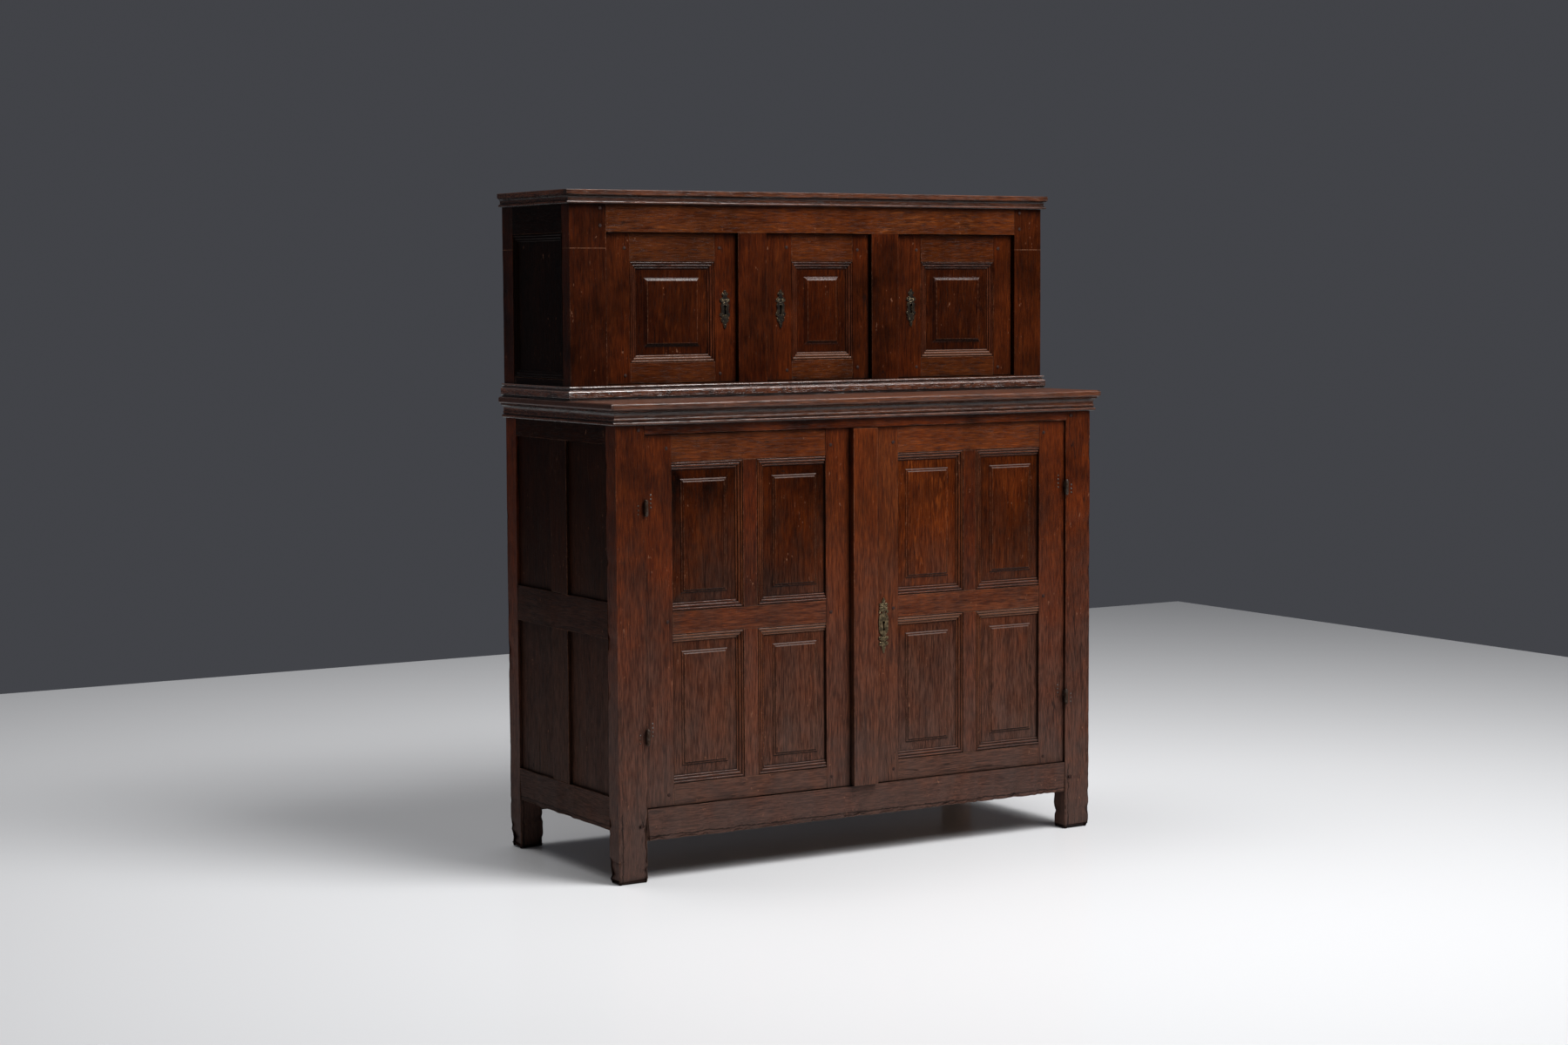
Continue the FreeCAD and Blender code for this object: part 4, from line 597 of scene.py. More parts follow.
class Oak(Finish):
    """Dark waxed oak: streaks, pores and rays along each timber, wear on arrises, grime and painted shade in
    corners.
    """

    def __init__(self, kind):
        super().__init__("oak_" + kind)
        self.look = bpy.context.scene.cupboard_timber
        self.ways = OAK_KINDS[kind]
        self.tone = self.mark("tone")
        self.grain = self.mark("grain")
        self.height = self.parts(self.place)[2]
        sway = self.vector("SUBTRACT", self.pattern("sway", self.grain, "Color"), (0.5, 0.5, 0.5))
        self.fibre = self.vector("ADD", self.grain, self.vector("MULTIPLY", sway, SWAY_REACH))
        self.pores = self.span(self.pattern("pores", self.fibre), 0.58, 0.70)
        self.cloud, self.blotch, self.specks = map(self.pattern, ("cloud", "blotch", "specks"))

    def lay_dirt_and_shade(self, share):
        """Lay a share of the grime colour over what is there: old wax and dirt, and painted shade where
        callers darken corners, hollows and undersides.
        """
        self.lay(share, self.look.grime_and_shade)

    def lay_grain(self):
        """Dark and light streaks, and the medullary rays that cross them."""
        self.light = 0.5
        shares = (0.24 * self.ways.streak, 0.5 * self.ways.streak, 0.9)
        for name, share in zip(("broad", "middle", "fine"), shares):
            streak = self.math("SUBTRACT", self.pattern(name, self.fibre), 0.5)
            self.light = self.slope(streak, share, self.light)
        self.colour = self.look.heart
        self.lay(self.span(self.light, 0.24, 0.54), self.look.body)
        self.lay(self.span(self.light, 0.50, 0.84, 0, 0.6), self.look.pale)
        if self.ways.rays:
            rays = self.product(self.span(self.pattern("flecks", self.fibre), 0.56, 0.68),
                                self.span(self.pattern("figure", self.grain), 0.44, 0.62))
            rays = self.product(rays, self.span(self.tone, 0.7, 0.95, 1.0, FIGURED))
            self.lay(self.math("MULTIPLY", rays, 0.6 * self.ways.rays, clamp=True), self.look.pale)

    def lay_polish(self):
        """The polish, lighter and darker in clouds and from timber to timber."""
        shade = self.total(self.span(self.cloud, 0.28, 0.72, 0.62, 1.22),
                           self.span(self.blotch, 0.3, 0.7, -0.2, 0.2))
        shade = self.slope(self.tone, 0.34, shade)
        # The kind's tint and the given tones also carry painted light and shade on some timbers
        self.darken(self.product(self.math("SUBTRACT", shade, 0.17), self.ways.tint))
        mellow = self.ways.mellow or self.span(self.tone, 0.1, 0.8, 1.0, 0.0)
        self.lay(mellow, REDDER, "MULTIPLY")

    def lay_fading(self):
        """Wood that has faded and greyed towards the floor, with wax in its pores and warmer clouds."""
        level = self.slope(self.math("SUBTRACT", self.blotch, 0.5), 0.5, self.height)
        self.faded = self.span(level, 0.12, 0.86, 0.85 * self.ways.fade, 0.0)
        dusty = self.mix(self.span(self.light, 0.32, 0.68), scaled(self.look.dusty, 0.36),
                         scaled(self.look.dusty, 1.2))
        self.lay(self.greater(self.faded, self.ways.dust), dusty)
        self.lay(self.span(level, 0.04, 0.36, 0.6 * self.ways.fade, 0.0), self.look.ash)
        self.lay_dirt_and_shade(self.product(self.pores, 0.5))
        ember = self.span(self.pattern("ember"), 0.4, 0.66, 0.0, 0.6)
        self.lay(self.product(ember, self.math("SUBTRACT", 1.0, self.faded)), EMBER, "MULTIPLY")

    def lay_cracks(self):
        """Fine shakes along the fibres, a long crack over the low edge, and burnt patches."""
        shakes = self.span(self.off(self.pattern("drift", self.fibre), 0.5), 0.0008, 0.0042, 1.0, 0.0)
        dried = self.span(self.pattern("dried"), 0.5, 0.62)
        low_down = self.span(self.height, 0.13, 0.22, 1.0, 0.0)
        self.shakes = self.product(shakes, self.greater(dried, low_down))
        self.lay_dirt_and_shade(self.product(self.shakes, 0.75))
        if self.ways.split:
            up = self.slope(self.pattern("crack"), -CRACK_REACH, self.parts(self.mark("from_low"))[1])
            line = self.span(self.off(up, self.ways.split - CRACK_REACH / 2), 0.0006, 0.0022, 1, 0)
            self.lay_dirt_and_shade(self.product(line, self.span(self.height, 0.15, 0.16, 0.85, 0.0)))
        if self.ways.blotched:
            self.lay_dirt_and_shade(self.span(self.pattern("burn"), 0.5, 0.62, 0.0, 0.8))

    def lay_wear(self):
        """Bare wood on rubbed arrises, in scuffs and in a scribed line, dirt in the joints, and dirt with
        painted shade in corners.
        """
        distance, along = self.edge_distance()
        edge = self.span(self.slope(self.specks, 0.009, distance), 0.0028, 0.0062, 1.0, 0.0)
        patch = self.span(self.pattern("patch"), 0.48, 0.68)
        rubbed = self.product(edge, self.product(patch, 0.45))
        scuffs = self.product(self.span(self.pattern("scuffs"), 0.66, 0.72),
                              self.span(self.blotch, 0.5, 0.62, 0.0, 0.6))
        eased = self.product(self.mark("arris"), self.span(self.specks, 0.38, 0.7, 0.05, 0.5))
        self.lay(self.greater(self.greater(rubbed, scuffs), eased), self.look.rubbed)
        if self.ways.scribed:
            line = self.span(self.off(self.height, self.ways.scribed), 0.0003, 0.0010, 1.0, 0.0)
            self.lay(self.product(line, self.span(self.specks, 0.3, 0.6, 0.15, 0.6)), self.look.rubbed)
        self.lay_dirt_and_shade(self.span(along, 0.0003, 0.0014, 0.45, 0.0))
        self.lay(self.product(self.mark("end_grain"), 0.5), self.look.heart)
        # Darker in corners by how enclosed they are: dirt and painted shade
        dirt = self.slope(self.blotch, 0.14, self.crevice(CORNER_REACH))
        self.lay_dirt_and_shade(self.span(dirt, 0.42, 1.0, 0.9, 0.0))

    def lay_profile(self):
        """Painted shade under a profile, dirt and painted shade in its hollows, and dust with painted
        highlights on the slopes that face up.
        """
        facing = self.parts(self.step("NewGeometry", output="Normal"))[2]
        # Painted shade on faces that look down
        self.lay_dirt_and_shade(self.span(facing, -0.6, -0.15, 0.9, 0.0))
        # Share of dust and painted highlight on slopes that face up
        ledge_dust_and_highlight = self.span(facing, *SLOPE, 0.0, self.ways.ledge_dust_and_highlight)
        if self.ways.tone_sets_dust_and_highlight:
            ledge_dust_and_highlight = self.product(ledge_dust_and_highlight, self.span(self.tone, -0.7, 1.6))
            # Painted highlight: the lightest lengths, the bottom mouldings, take a share of the rubbed colour
            self.lay(self.span(self.tone, 2.0, 4.0, 0.0, 0.36), self.look.rubbed)
        # Ash made lighter, for dust and painted highlight
        dust = scaled(self.look.ash, LEDGE_LIGHT * self.ways.dust_and_highlight_lightness)
        self.lay(ledge_dust_and_highlight, dust)
        # Darker in the hollows of the profile: dirt and painted shade
        self.lay_dirt_and_shade(self.span(self.crevice(HOLLOW_REACH), self.ways.sharp, 0.97, self.ways.hollow_dirt_and_shade, 0.0))
        # Dust and painted highlight on slopes that face up, over the hollow darkening
        self.lay(self.span(facing, *SLOPE, 0.0, self.ways.step), dust)

    def coated(self):
        """The material with its gloss, duller where it is faded, and with open pores and shakes."""
        sheen = self.slope(self.cloud, 0.22, self.ways.gloss - 0.1)
        dull = self.total(self.pores, self.faded)
        sheen = self.slope(dull, 0.14, sheen, clamp=True)
        self.shader.inputs["Specular IOR Level"].default_value = self.ways.shine
        planing = self.bump(self.pattern("planing", self.grain), 0.4, 0.001)
        relief = self.slope(self.greater(self.pores, self.shakes), -0.8, self.light)
        return self.coat(sheen, self.bump(relief, 0.6, 0.0005, planing))


def oak_finish(kind):
    """The waxed oak of one kind of piece."""
    oak = Oak(kind)
    oak.lay_grain()
    oak.lay_polish()
    oak.lay_fading()
    oak.lay_cracks()
    oak.lay_wear()
    if oak.ways.hollow_dirt_and_shade:
        oak.lay_profile()
    return oak.coated()


def dry_finish():
    """Unpolished oak of the inside and the back: open grain, saw marks, water stains."""
    look = bpy.context.scene.cupboard_timber
    oak = Finish("oak_dry")
    grain = oak.mark("grain")
    fine = oak.pattern("dry_fine", grain)
    stain = oak.pattern("stain")
    depth = oak.total(oak.product(oak.pattern("dry_broad", grain), 0.6), oak.product(fine, 0.4))
    oak.colour = look.dry_dark
    oak.lay(oak.span(depth, 0.3, 0.7), look.dry)
    oak.darken(oak.total(oak.span(stain, 0.3, 0.7, 0.55, 1.1), oak.product(oak.mark("tone"), 0.25)))
    oak.lay(oak.span(oak.edge_distance()[0], 0.0006, 0.0035, 0.75, 0.0), look.grime_and_shade)
    # Darker in corners by how enclosed they are: dirt and painted shade
    oak.lay(oak.span(oak.crevice(0.04), 0.4, 1.0, 0.75, 0.0), look.grime_and_shade)
    oak.shader.inputs["Specular IOR Level"].default_value = 0.25
    relief = oak.total(oak.product(fine, 0.5), oak.product(oak.pattern("saw", grain), 0.35))
    return oak.coat(oak.total(oak.product(stain, 0.2), 0.66), oak.bump(relief, 0.55, 0.0006))


def metal_finish(name, worn, dull, polish, relief, clouded=0.4):
    """Old metal: dark in hollows, rubbed bright on high places, pitted."""
    metal = Finish(name)
    patina = metal.pattern("patina")
    eased = metal.product(metal.mark("arris"), metal.span(patina, 0.36, 0.6))
    rubbed = metal.slope(metal.span(patina, 0.42, 0.7), clouded, eased, clamp=True)
    metal.colour = dull
    metal.lay(rubbed, worn)
    metal.lay(metal.span(metal.crevice(0.006), 0.35, 0.95, 0.8, 0.0), scaled(dull, 0.25))
    metal.shader.inputs["Metallic"].default_value = 0.85
    pitted = metal.total(metal.product(metal.pattern("pits"), 0.4), patina)
    return metal.coat(metal.span(rubbed, 0, 1, polish + 0.25, polish), metal.bump(pitted, relief, 0.0004))


def peg_finish():
    """End grain of a joint peg: dark rings, polished over."""
    look = bpy.context.scene.cupboard_timber
    peg = Finish("peg_end_grain")
    rings = peg.pattern("rings")
    peg.colour = look.grime_and_shade
    peg.lay(peg.span(rings, 0.35, 0.65), look.heart)
    peg.shader.inputs["Specular IOR Level"].default_value = 0.3
    return peg.coat(peg.span(rings, 0.3, 0.7, 0.85, 0.65), peg.bump(rings, 0.6, 0.0005))


def finish_of(name, make, *values):
    """A material made once and shared by every piece that asks for it."""
    return bpy.data.materials.get(name) or make(*values)


def oak_of(kind):
    """The waxed oak of one kind of piece, made when it is first asked for."""
    return finish_of("oak_" + kind, oak_finish, kind)


def metal_of(name):
    """Iron, brass or bronze: its worn and dull colours, polish, relief and cloudiness."""
    look = bpy.context.scene.cupboard_metal
    ways = {"old_iron": (look.iron, look.rust, 0.38, 0.5),
            "old_brass": (look.brass, look.tarnish, 0.32, 0.35),
            "old_bronze": (look.brass, look.soot, 0.26, 0.3, 0.06)}
    return finish_of(name, metal_finish, name, *ways[name])


# Outline of an escutcheon's right half as shares of its half width and height, from its top down,
# and its holes as shares: place across and up, half width and half height
LOWER_PLATE_SHARES = (
    (0.0, 0.500), (0.16, 0.468), (0.30, 0.452), (0.22, 0.425), (0.14, 0.412), (0.34, 0.398), (0.72, 0.402),
    (0.90, 0.372), (0.66, 0.352), (0.86, 0.318), (0.70, 0.296), (0.98, 0.262), (0.96, 0.228), (0.62, 0.214),
    (0.86, 0.180), (1.0, 0.110), (1.0, 0.0), (0.94, -0.080), (0.72, -0.140), (0.42, -0.178), (0.60, -0.205),
    (0.98, -0.215), (0.94, -0.252), (0.58, -0.262), (0.50, -0.290), (0.90, -0.318), (0.86, -0.352),
    (0.52, -0.362), (0.30, -0.392), (0.34, -0.418), (0.20, -0.448), (0.14, -0.480), (0.0, -0.5),
)
LOWER_HOLE_SHARES = (
    (0.46, 0.236, 0.26, 0.026), (0.44, 0.345, 0.20, 0.016), (0.26, -0.196, 0.15, 0.022),
    (0.38, -0.296, 0.18, 0.016),
)
UPPER_PLATE_SHARES = (
    (0.0, 0.500), (0.20, 0.470), (0.28, 0.440), (0.56, 0.420), (0.60, 0.390), (0.36, 0.362), (0.42, 0.318),
    (0.72, 0.285), (0.98, 0.240), (0.92, 0.205), (0.56, 0.180), (0.62, 0.140), (0.82, 0.110), (0.70, 0.050),
    (0.62, 0.0), (0.80, -0.045), (0.70, -0.080), (0.96, -0.110), (1.0, -0.150), (0.72, -0.190),
    (0.50, -0.225), (0.66, -0.265), (0.70, -0.305), (0.40, -0.335), (0.30, -0.380), (0.24, -0.440),
    (0.12, -0.480), (0.0, -0.5),
)
UPPER_HOLE_SHARES = (
    (0.44, 0.238, 0.18, 0.020), (0.30, 0.400, 0.12, 0.014), (0.48, -0.150, 0.18, 0.018),
    (0.36, -0.285, 0.14, 0.016),
)
# Keyhole: a round end over a slot that flares at its foot
KEYHOLE_RADIUS = 0.0042
KEYHOLE_ARC = (-55, 0, 60, 120, 180, 235)
KEYHOLE_SLOT = 0.0048
KEYHOLE_DROP = 0.020
KEYHOLE_LIFT = 0.007
KEYHOLE_FOOT = 0.004
KEYHOLE_FLARE = 1.5
# Raised oval round the keyhole, as shares of the plate's half width and height
OVAL_SHARES = (0.70, 0.17)
# Pins as shares of the plate's half width and height
PIN_SHARES = ((0, 0.43), (0, -0.40), (0.80, 0.24), (-0.80, 0.24), (0.78, -0.235), (-0.78, -0.235))
# Shares of the plate's thickness: rounding of plate and oval, rise of oval and pins, radius of the
# pins before they are flattened, and how far the middle stands out
PLATE_ROUNDING = 0.3
OVAL_ROUNDING = 0.4
OVAL_RISE = 0.35
PIN_RISE = 0.45
PIN_RADIUS = 0.75
PIN_FLATNESS = 0.6
PLATE_SWELL = 0.22
# Cosine above which a face of a plate counts as its flat front or back
FLAT_ENOUGH = 0.93


def closed_spline(curve, points, handle):
    """Add a closed spline through flat points to a curve."""
    spline = curve.splines.new("BEZIER")
    spline.bezier_points.add(len(points) - 1)
    for knot, (across, up) in zip(spline.bezier_points, points):
        knot.co = (across, up, 0)
        knot.handle_left_type = knot.handle_right_type = handle
    spline.use_cyclic_u = True
    spline.resolution_u = 5


def ring_points(across, up, half_width, half_height, count=8):
    """Points round an oval."""
    return [(across + half_width * math.cos(2 * math.pi * number / count),
             up + half_height * math.sin(2 * math.pi * number / count)) for number in range(count)]


def keyhole_points():
    """Points round a keyhole whose round end is above its slot."""
    arc = [math.radians(angle) for angle in KEYHOLE_ARC]
    rounds = [(KEYHOLE_RADIUS * math.cos(angle), KEYHOLE_LIFT + KEYHOLE_RADIUS * math.sin(angle))
              for angle in arc]
    foot = KEYHOLE_LIFT - KEYHOLE_DROP
    half, flare = KEYHOLE_SLOT / 2, KEYHOLE_SLOT / 2 * KEYHOLE_FLARE
    return rounds + [(-half, foot + KEYHOLE_FOOT), (-flare, foot), (flare, foot), (half, foot + KEYHOLE_FOOT)]


def flat_shape(name, splines, thickness, edge):
    """A mesh cut from flat splines, with softened edges, standing in the XZ plane facing -Y."""
    curve = bpy.data.curves.new(name, "CURVE")
    curve.dimensions = "2D"
    curve.fill_mode = "BOTH"
    curve.extrude = thickness / 2 - edge
    curve.bevel_depth = edge
    curve.bevel_resolution = 2
    for points, handle in splines:
        closed_spline(curve, points, handle)
    holder = bpy.data.objects.new(name + "_curve", curve)
    bpy.context.scene.collection.objects.link(holder)
    bpy.context.view_layer.update()
    shape = bpy.data.meshes.new_from_object(holder.evaluated_get(bpy.context.evaluated_depsgraph_get()))
    bpy.data.objects.remove(holder)
    bpy.data.curves.remove(curve)
    shape.transform(Matrix.Rotation(math.radians(90), 4, "X"))
    return shape


def escutcheon(node, body, shares, hole_shares, finish):
    """A pierced cast plate with leafy ends, a raised oval round the keyhole and small round pins."""
    low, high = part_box(node)
    half_width, thickness, height = (high.x - low.x) / 2, high.y - low.y, high.z - low.z
    right = [(across * half_width, up * height) for across, up in shares]
    outline = right + [(-across, up) for across, up in reversed(right[1:-1])]
    holes = [ring_points(side * across * half_width, up * height, wide * half_width, tall * height)
             for across, up, wide, tall in hole_shares for side in (-1, 1)]
    keyhole = (keyhole_points(), "VECTOR")
    splines = [(outline, "AUTO")] + [(hole, "AUTO") for hole in holes] + [keyhole]
    plate = flat_shape(node, splines, thickness, thickness * PLATE_ROUNDING)
    oval = ring_points(0, 0, OVAL_SHARES[0] * half_width, OVAL_SHARES[1] * height, 12)
    boss = flat_shape(node + "_boss", [(oval, "AUTO"), keyhole], thickness, thickness * OVAL_ROUNDING)
    boss.transform(Matrix.Translation((0, -thickness * OVAL_RISE, 0)))
    solid = bmesh.new()
    solid.from_mesh(plate)
    solid.from_mesh(boss)
    bpy.data.meshes.remove(boss)
    front = -thickness * PIN_RISE
    for across, up in PIN_SHARES:
        place = Matrix.Translation((across * half_width, front, up * height))
        ball = bmesh.ops.create_uvsphere(solid, u_segments=10, v_segments=6, radius=thickness * PIN_RADIUS,
                                         matrix=place)
        for corner in ball["verts"]:
            corner.co.y = front + (corner.co.y - front) * PIN_FLATNESS
    for corner in solid.verts:
        across = abs(corner.co.x / half_width)
        if corner.co.y < 0:
            corner.co.y -= thickness * PLATE_SWELL * math.cos(min(across, 1) * math.pi / 2)
    solid.to_mesh(plate)
    solid.free()
    plate.transform(Matrix.Translation((low + high) / 2))
    plate.name = node + "_plate"
    write_mark(plate, "arris", [0.0 if abs(face.normal.y) > FLAT_ENOUGH else 1.0 for face in plate.polygons])
    piece = finished_piece(node + "_cast", plate, finish, CAST_CREASE_ANGLE)
    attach(piece, body)
    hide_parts(node)
    return piece


# Profile of a driven head as shares of its radius and rise, from the rim in
HEAD_SHARES = ((1.0, -0.4), (1.0, 0.35), (0.86, 0.72), (0.5, 0.94))
HEAD_SIDES = 9


def driven_heads(name, body, places, radius, rise, finish):
    """Small uneven domed heads of pegs or nails driven into a face from the front."""
    draw = random.Random(name)
    points, faces = [], []
    for place in places:
        start = len(points)
        turn = draw.uniform(0, math.pi)
        sides = [draw.uniform(0.86, 1.08) for _ in range(HEAD_SIDES)]
        for across, up in HEAD_SHARES:
            for number, side in enumerate(sides):
                angle = turn + 2 * math.pi * number / HEAD_SIDES
                points.append((place[0] + radius * across * side * math.cos(angle), place[1] - rise * up,
                               place[2] + radius * across * side * math.sin(angle)))
        points.append((place[0], place[1] - rise, place[2]))
        crown = len(points) - 1
        for ring in range(len(HEAD_SHARES)):
            for number in range(HEAD_SIDES):
                beside = (number + 1) % HEAD_SIDES
                low, low_beside = (start + ring * HEAD_SIDES + count for count in (number, beside))
                if ring == len(HEAD_SHARES) - 1:
                    faces.append((low, low_beside, crown))
                else:
                    faces.append((low, low_beside, low_beside + HEAD_SIDES, low + HEAD_SIDES))
    mesh = bpy.data.meshes.new(name)
    mesh.from_pydata(points, [], faces)
    write_mark(mesh, "arris", [1.0] * len(faces))
    piece = finished_piece(name, mesh, finish)
    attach(piece, body)
    return piece


# Heads of the joint pegs: distance from the door stile's inner edge, radius and rise
PEG_INSET = 0.013
PEG_RADIUS = 0.004
PEG_RISE = 0.0009
# How far a peg strays down and up from the middle of its rail
PEG_STRAY = (-0.007, 0.004)
# Heads of the hinge nails: distance from the hinge's middle, spacing, radius and rise
NAIL_OFFSET = 0.017
NAIL_SPACING = 0.009
NAIL_RADIUS = 0.0019
NAIL_RISE = 0.0009


def door_peg_places(nodes):
    """Where the joint pegs of a door stand: on its two stiles, level with each rail."""
    draw = random.Random(nodes[0])
    boxes = [(corners.min(0), corners.max(0)) for node in nodes for corners, _ in solids_of(node)]
    boxes.sort(key=lambda box: box[0][2] - box[1][2])
    (left, right), rails = sorted(boxes[:2], key=lambda box: box[0][0]), boxes[2:]
    return [(x, left[0][1], (low[2] + high[2]) / 2 + draw.uniform(*PEG_STRAY))
            for low, high in rails for x in (left[1][0] - PEG_INSET, right[0][0] + PEG_INSET)]


def hinge_nail_places(node, face, side):
    """Three nails in a row beside each hinge whose half is in the node."""
    places = []
    for corners, _ in solids_of(node):
        middle = (corners.min(0) + corners.max(0)) / 2
        toward = side if side else math.copysign(1, middle[0])
        for number in (-1, 0, 1):
            places.append((middle[0] + toward * NAIL_OFFSET, face, middle[2] + number * NAIL_SPACING))
    return places


def oak_piece(name, node, body, kind, **ways):
    """A piece of polished oak that stands for one CAD node."""
    return dress(name, node, body, "oak", oak_of(kind), **ways)


def door_pegs(door, *nodes):
    """The heads of the pegs that hold a door's frame together."""
    return driven_heads(f"{door}_pegs", door, door_peg_places(nodes), PEG_RADIUS, PEG_RISE,
                        finish_of("peg_end_grain", peg_finish))


LOWER_DOORS = ("lower_left_door", "lower_right_door")
UPPER_DOORS = ("upper_left_door", "upper_middle_door", "upper_right_door")
# How light the timbers and panels of each lower door are, from the top row down; the dark top muntins are
# painted shade
LOWER_DOOR_TONES = {
    "lower_left_door": {"stile": (0.0, 0.3), "rail": (0.65, 0.45, 0.9), "muntin": (-0.9, 0.2),
                        "panel": (-1.0, -0.5, 0.5, 0.55)},
    "lower_right_door": {"stile": (0.5, 0.1), "rail": (0.55, 0.5, 0.9), "muntin": (-0.5, 0.1),
                         "panel": (0.85, -0.1, 0.1, 0.5)},
}
# How light the top rail, left stile, right stile and bottom rail of each upper door are
UPPER_DOOR_TONES = {
    "upper_left_door": (0.75, 0.25, 0.05, 0.6),
    "upper_middle_door": (0.65, 0.0, 0.1, 0.75),
    "upper_right_door": (0.55, 0.1, 0.3, 0.7),
}
# Painted light and shade of the mouldings round a panel: how light they are above, at its sides and below,
# shaded above and highlighted below
LOWER_MOULDING_PAINTED_LIGHT = (1.6, 1.6, 0.6, 0.6, 0.6, 0.6, 5.0, 5.0) * 2
UPPER_MOULDING_PAINTED_LIGHT = (-0.9, 0.0, 0.0, 4.0)


class CUPBOARD_OT_lower_case(bpy.types.Operator):
    """Posts, rails, panelled sides and waist boards of the lower stage"""

    bl_idname = "cupboard.lower_case"
    bl_label = "Lower case"

    def execute(self, context):
        oak_piece("front_and_rear_posts", "lower_posts", "case", "frame", station=0.4, rough=2.0,
                  tones=(-0.15, -0.15, -0.4, -0.4))
        # The frieze rail's low tone paints the shadow of the waist moulding on it
        oak_piece("front_rails", "lower_front_rails", "case", "frame", station=0.4, rough=1.6,
                  tones=(-0.5, 0.0))
        oak_piece("side_frames", "lower_side_frames", "case", "side", rough=1.3)
        oak_piece("side_panels", "lower_side_panels", "case", "side", upright=True)
        oak_piece("waist_top_boards", "waist_boards", "case", "top")
        oak_piece("waist_cornice_lengths", "waist_cornice", "case", "cornice", fine=True)
        return {"FINISHED"}


class CUPBOARD_OT_upper_case(bpy.types.Operator):
    """Posts, rails, muntins, sides and roof of the upper stage"""

    bl_idname = "cupboard.upper_case"
    bl_label = "Upper case"

    def execute(self, context):
        oak_piece("upper_post_timbers", "upper_posts", "case", "upper_post", tones=(-0.35, -0.35, 0.35, 0.35))
        oak_piece("upper_rail_timbers", "upper_front_rails", "case", "upper_frame", tones=(1.2, 0.6))
        oak_piece("upper_muntin_timbers", "upper_muntins", "case", "upper_frame", tones=(-0.48, -0.33))
        oak_piece("upper_side_rail_timbers", "upper_side_rails", "case", "upper_side")
        oak_piece("upper_side_panel_boards", "upper_side_panels", "case", "upper_side", upright=True)
        oak_piece("upper_side_moulding_lengths", "upper_side_mouldings", "case", "upper_side", fine=True)
        oak_piece("top_cornice_lengths", "top_cornice", "case", "cornice", fine=True)
        oak_piece("base_moulding_lengths", "waist_base_moulding", "case", "base", fine=True)
        dress("roof_planks", "roof_boards", "case", "inner_oak", finish_of("oak_dry", dry_finish))
        dress("joint_pegs", "case_pegs", "case", "oak", finish_of("peg_end_grain", peg_finish), fine=True)
        return {"FINISHED"}


class CUPBOARD_OT_inside(bpy.types.Operator):
    """Floors, shelf, partitions and back, in unpolished oak"""

    bl_idname = "cupboard.inside"
    bl_label = "Inside and back"

    def execute(self, context):
        dry = finish_of("oak_dry", dry_finish)
        for name, node in (("floor_planks", "lower_floor_boards"), ("shelf_planks", "lower_shelf"),
                           ("bearer_timbers", "shelf_bearers"), ("upper_floor_planks", "upper_floor_boards"),
                           ("partition_boards", "upper_partitions"), ("back_rail_timbers", "back_rails"),
                           ("back_planks", "back_boards")):
            dress(name, node, "case", "inner_oak", dry, station=3, wander=0)
        return {"FINISHED"}


class CUPBOARD_OT_lower_doors(bpy.types.Operator):
    """The two panelled doors of the lower stage, with the cover strip"""

    bl_idname = "cupboard.lower_doors"
    bl_label = "Lower doors"

    def execute(self, context):
        for door in LOWER_DOORS:
            tones = LOWER_DOOR_TONES[door]
            for part in ("stile", "rail", "muntin"):
                oak_piece(f"{door}_{part}_timbers", f"{door}_{part}s", door, "frame", tones=tones[part])
            oak_piece(f"{door}_panel_boards", f"{door}_panels", door, "panel", upright=True, fine=True,
                      tones=tones["panel"])
            oak_piece(f"{door}_moulding_lengths", f"{door}_mouldings", door, "moulding", fine=True,
                      tones=LOWER_MOULDING_PAINTED_LIGHT)
            door_pegs(door, f"{door}_stiles", f"{door}_rails")
        oak_piece("cover_strip_board", "cover_strip", "lower_right_door", "frame")
        return {"FINISHED"}


class CUPBOARD_OT_upper_doors(bpy.types.Operator):
    """The three small doors of the upper stage"""

    bl_idname = "cupboard.upper_doors"
    bl_label = "Upper doors"

    def execute(self, context):
        for door in UPPER_DOORS:
            oak_piece(f"{door}_frame_timbers", f"{door}_frame", door, "upper_frame",
                      tones=UPPER_DOOR_TONES[door])
            door_pegs(door, f"{door}_frame")
            oak_piece(f"{door}_panel_board", f"{door}_panel", door, "small_panel", upright=True, fine=True)
            oak_piece(f"{door}_moulding_lengths", f"{door}_mouldings", door, "moulding", fine=True,
                      tones=UPPER_MOULDING_PAINTED_LIGHT)
        return {"FINISHED"}


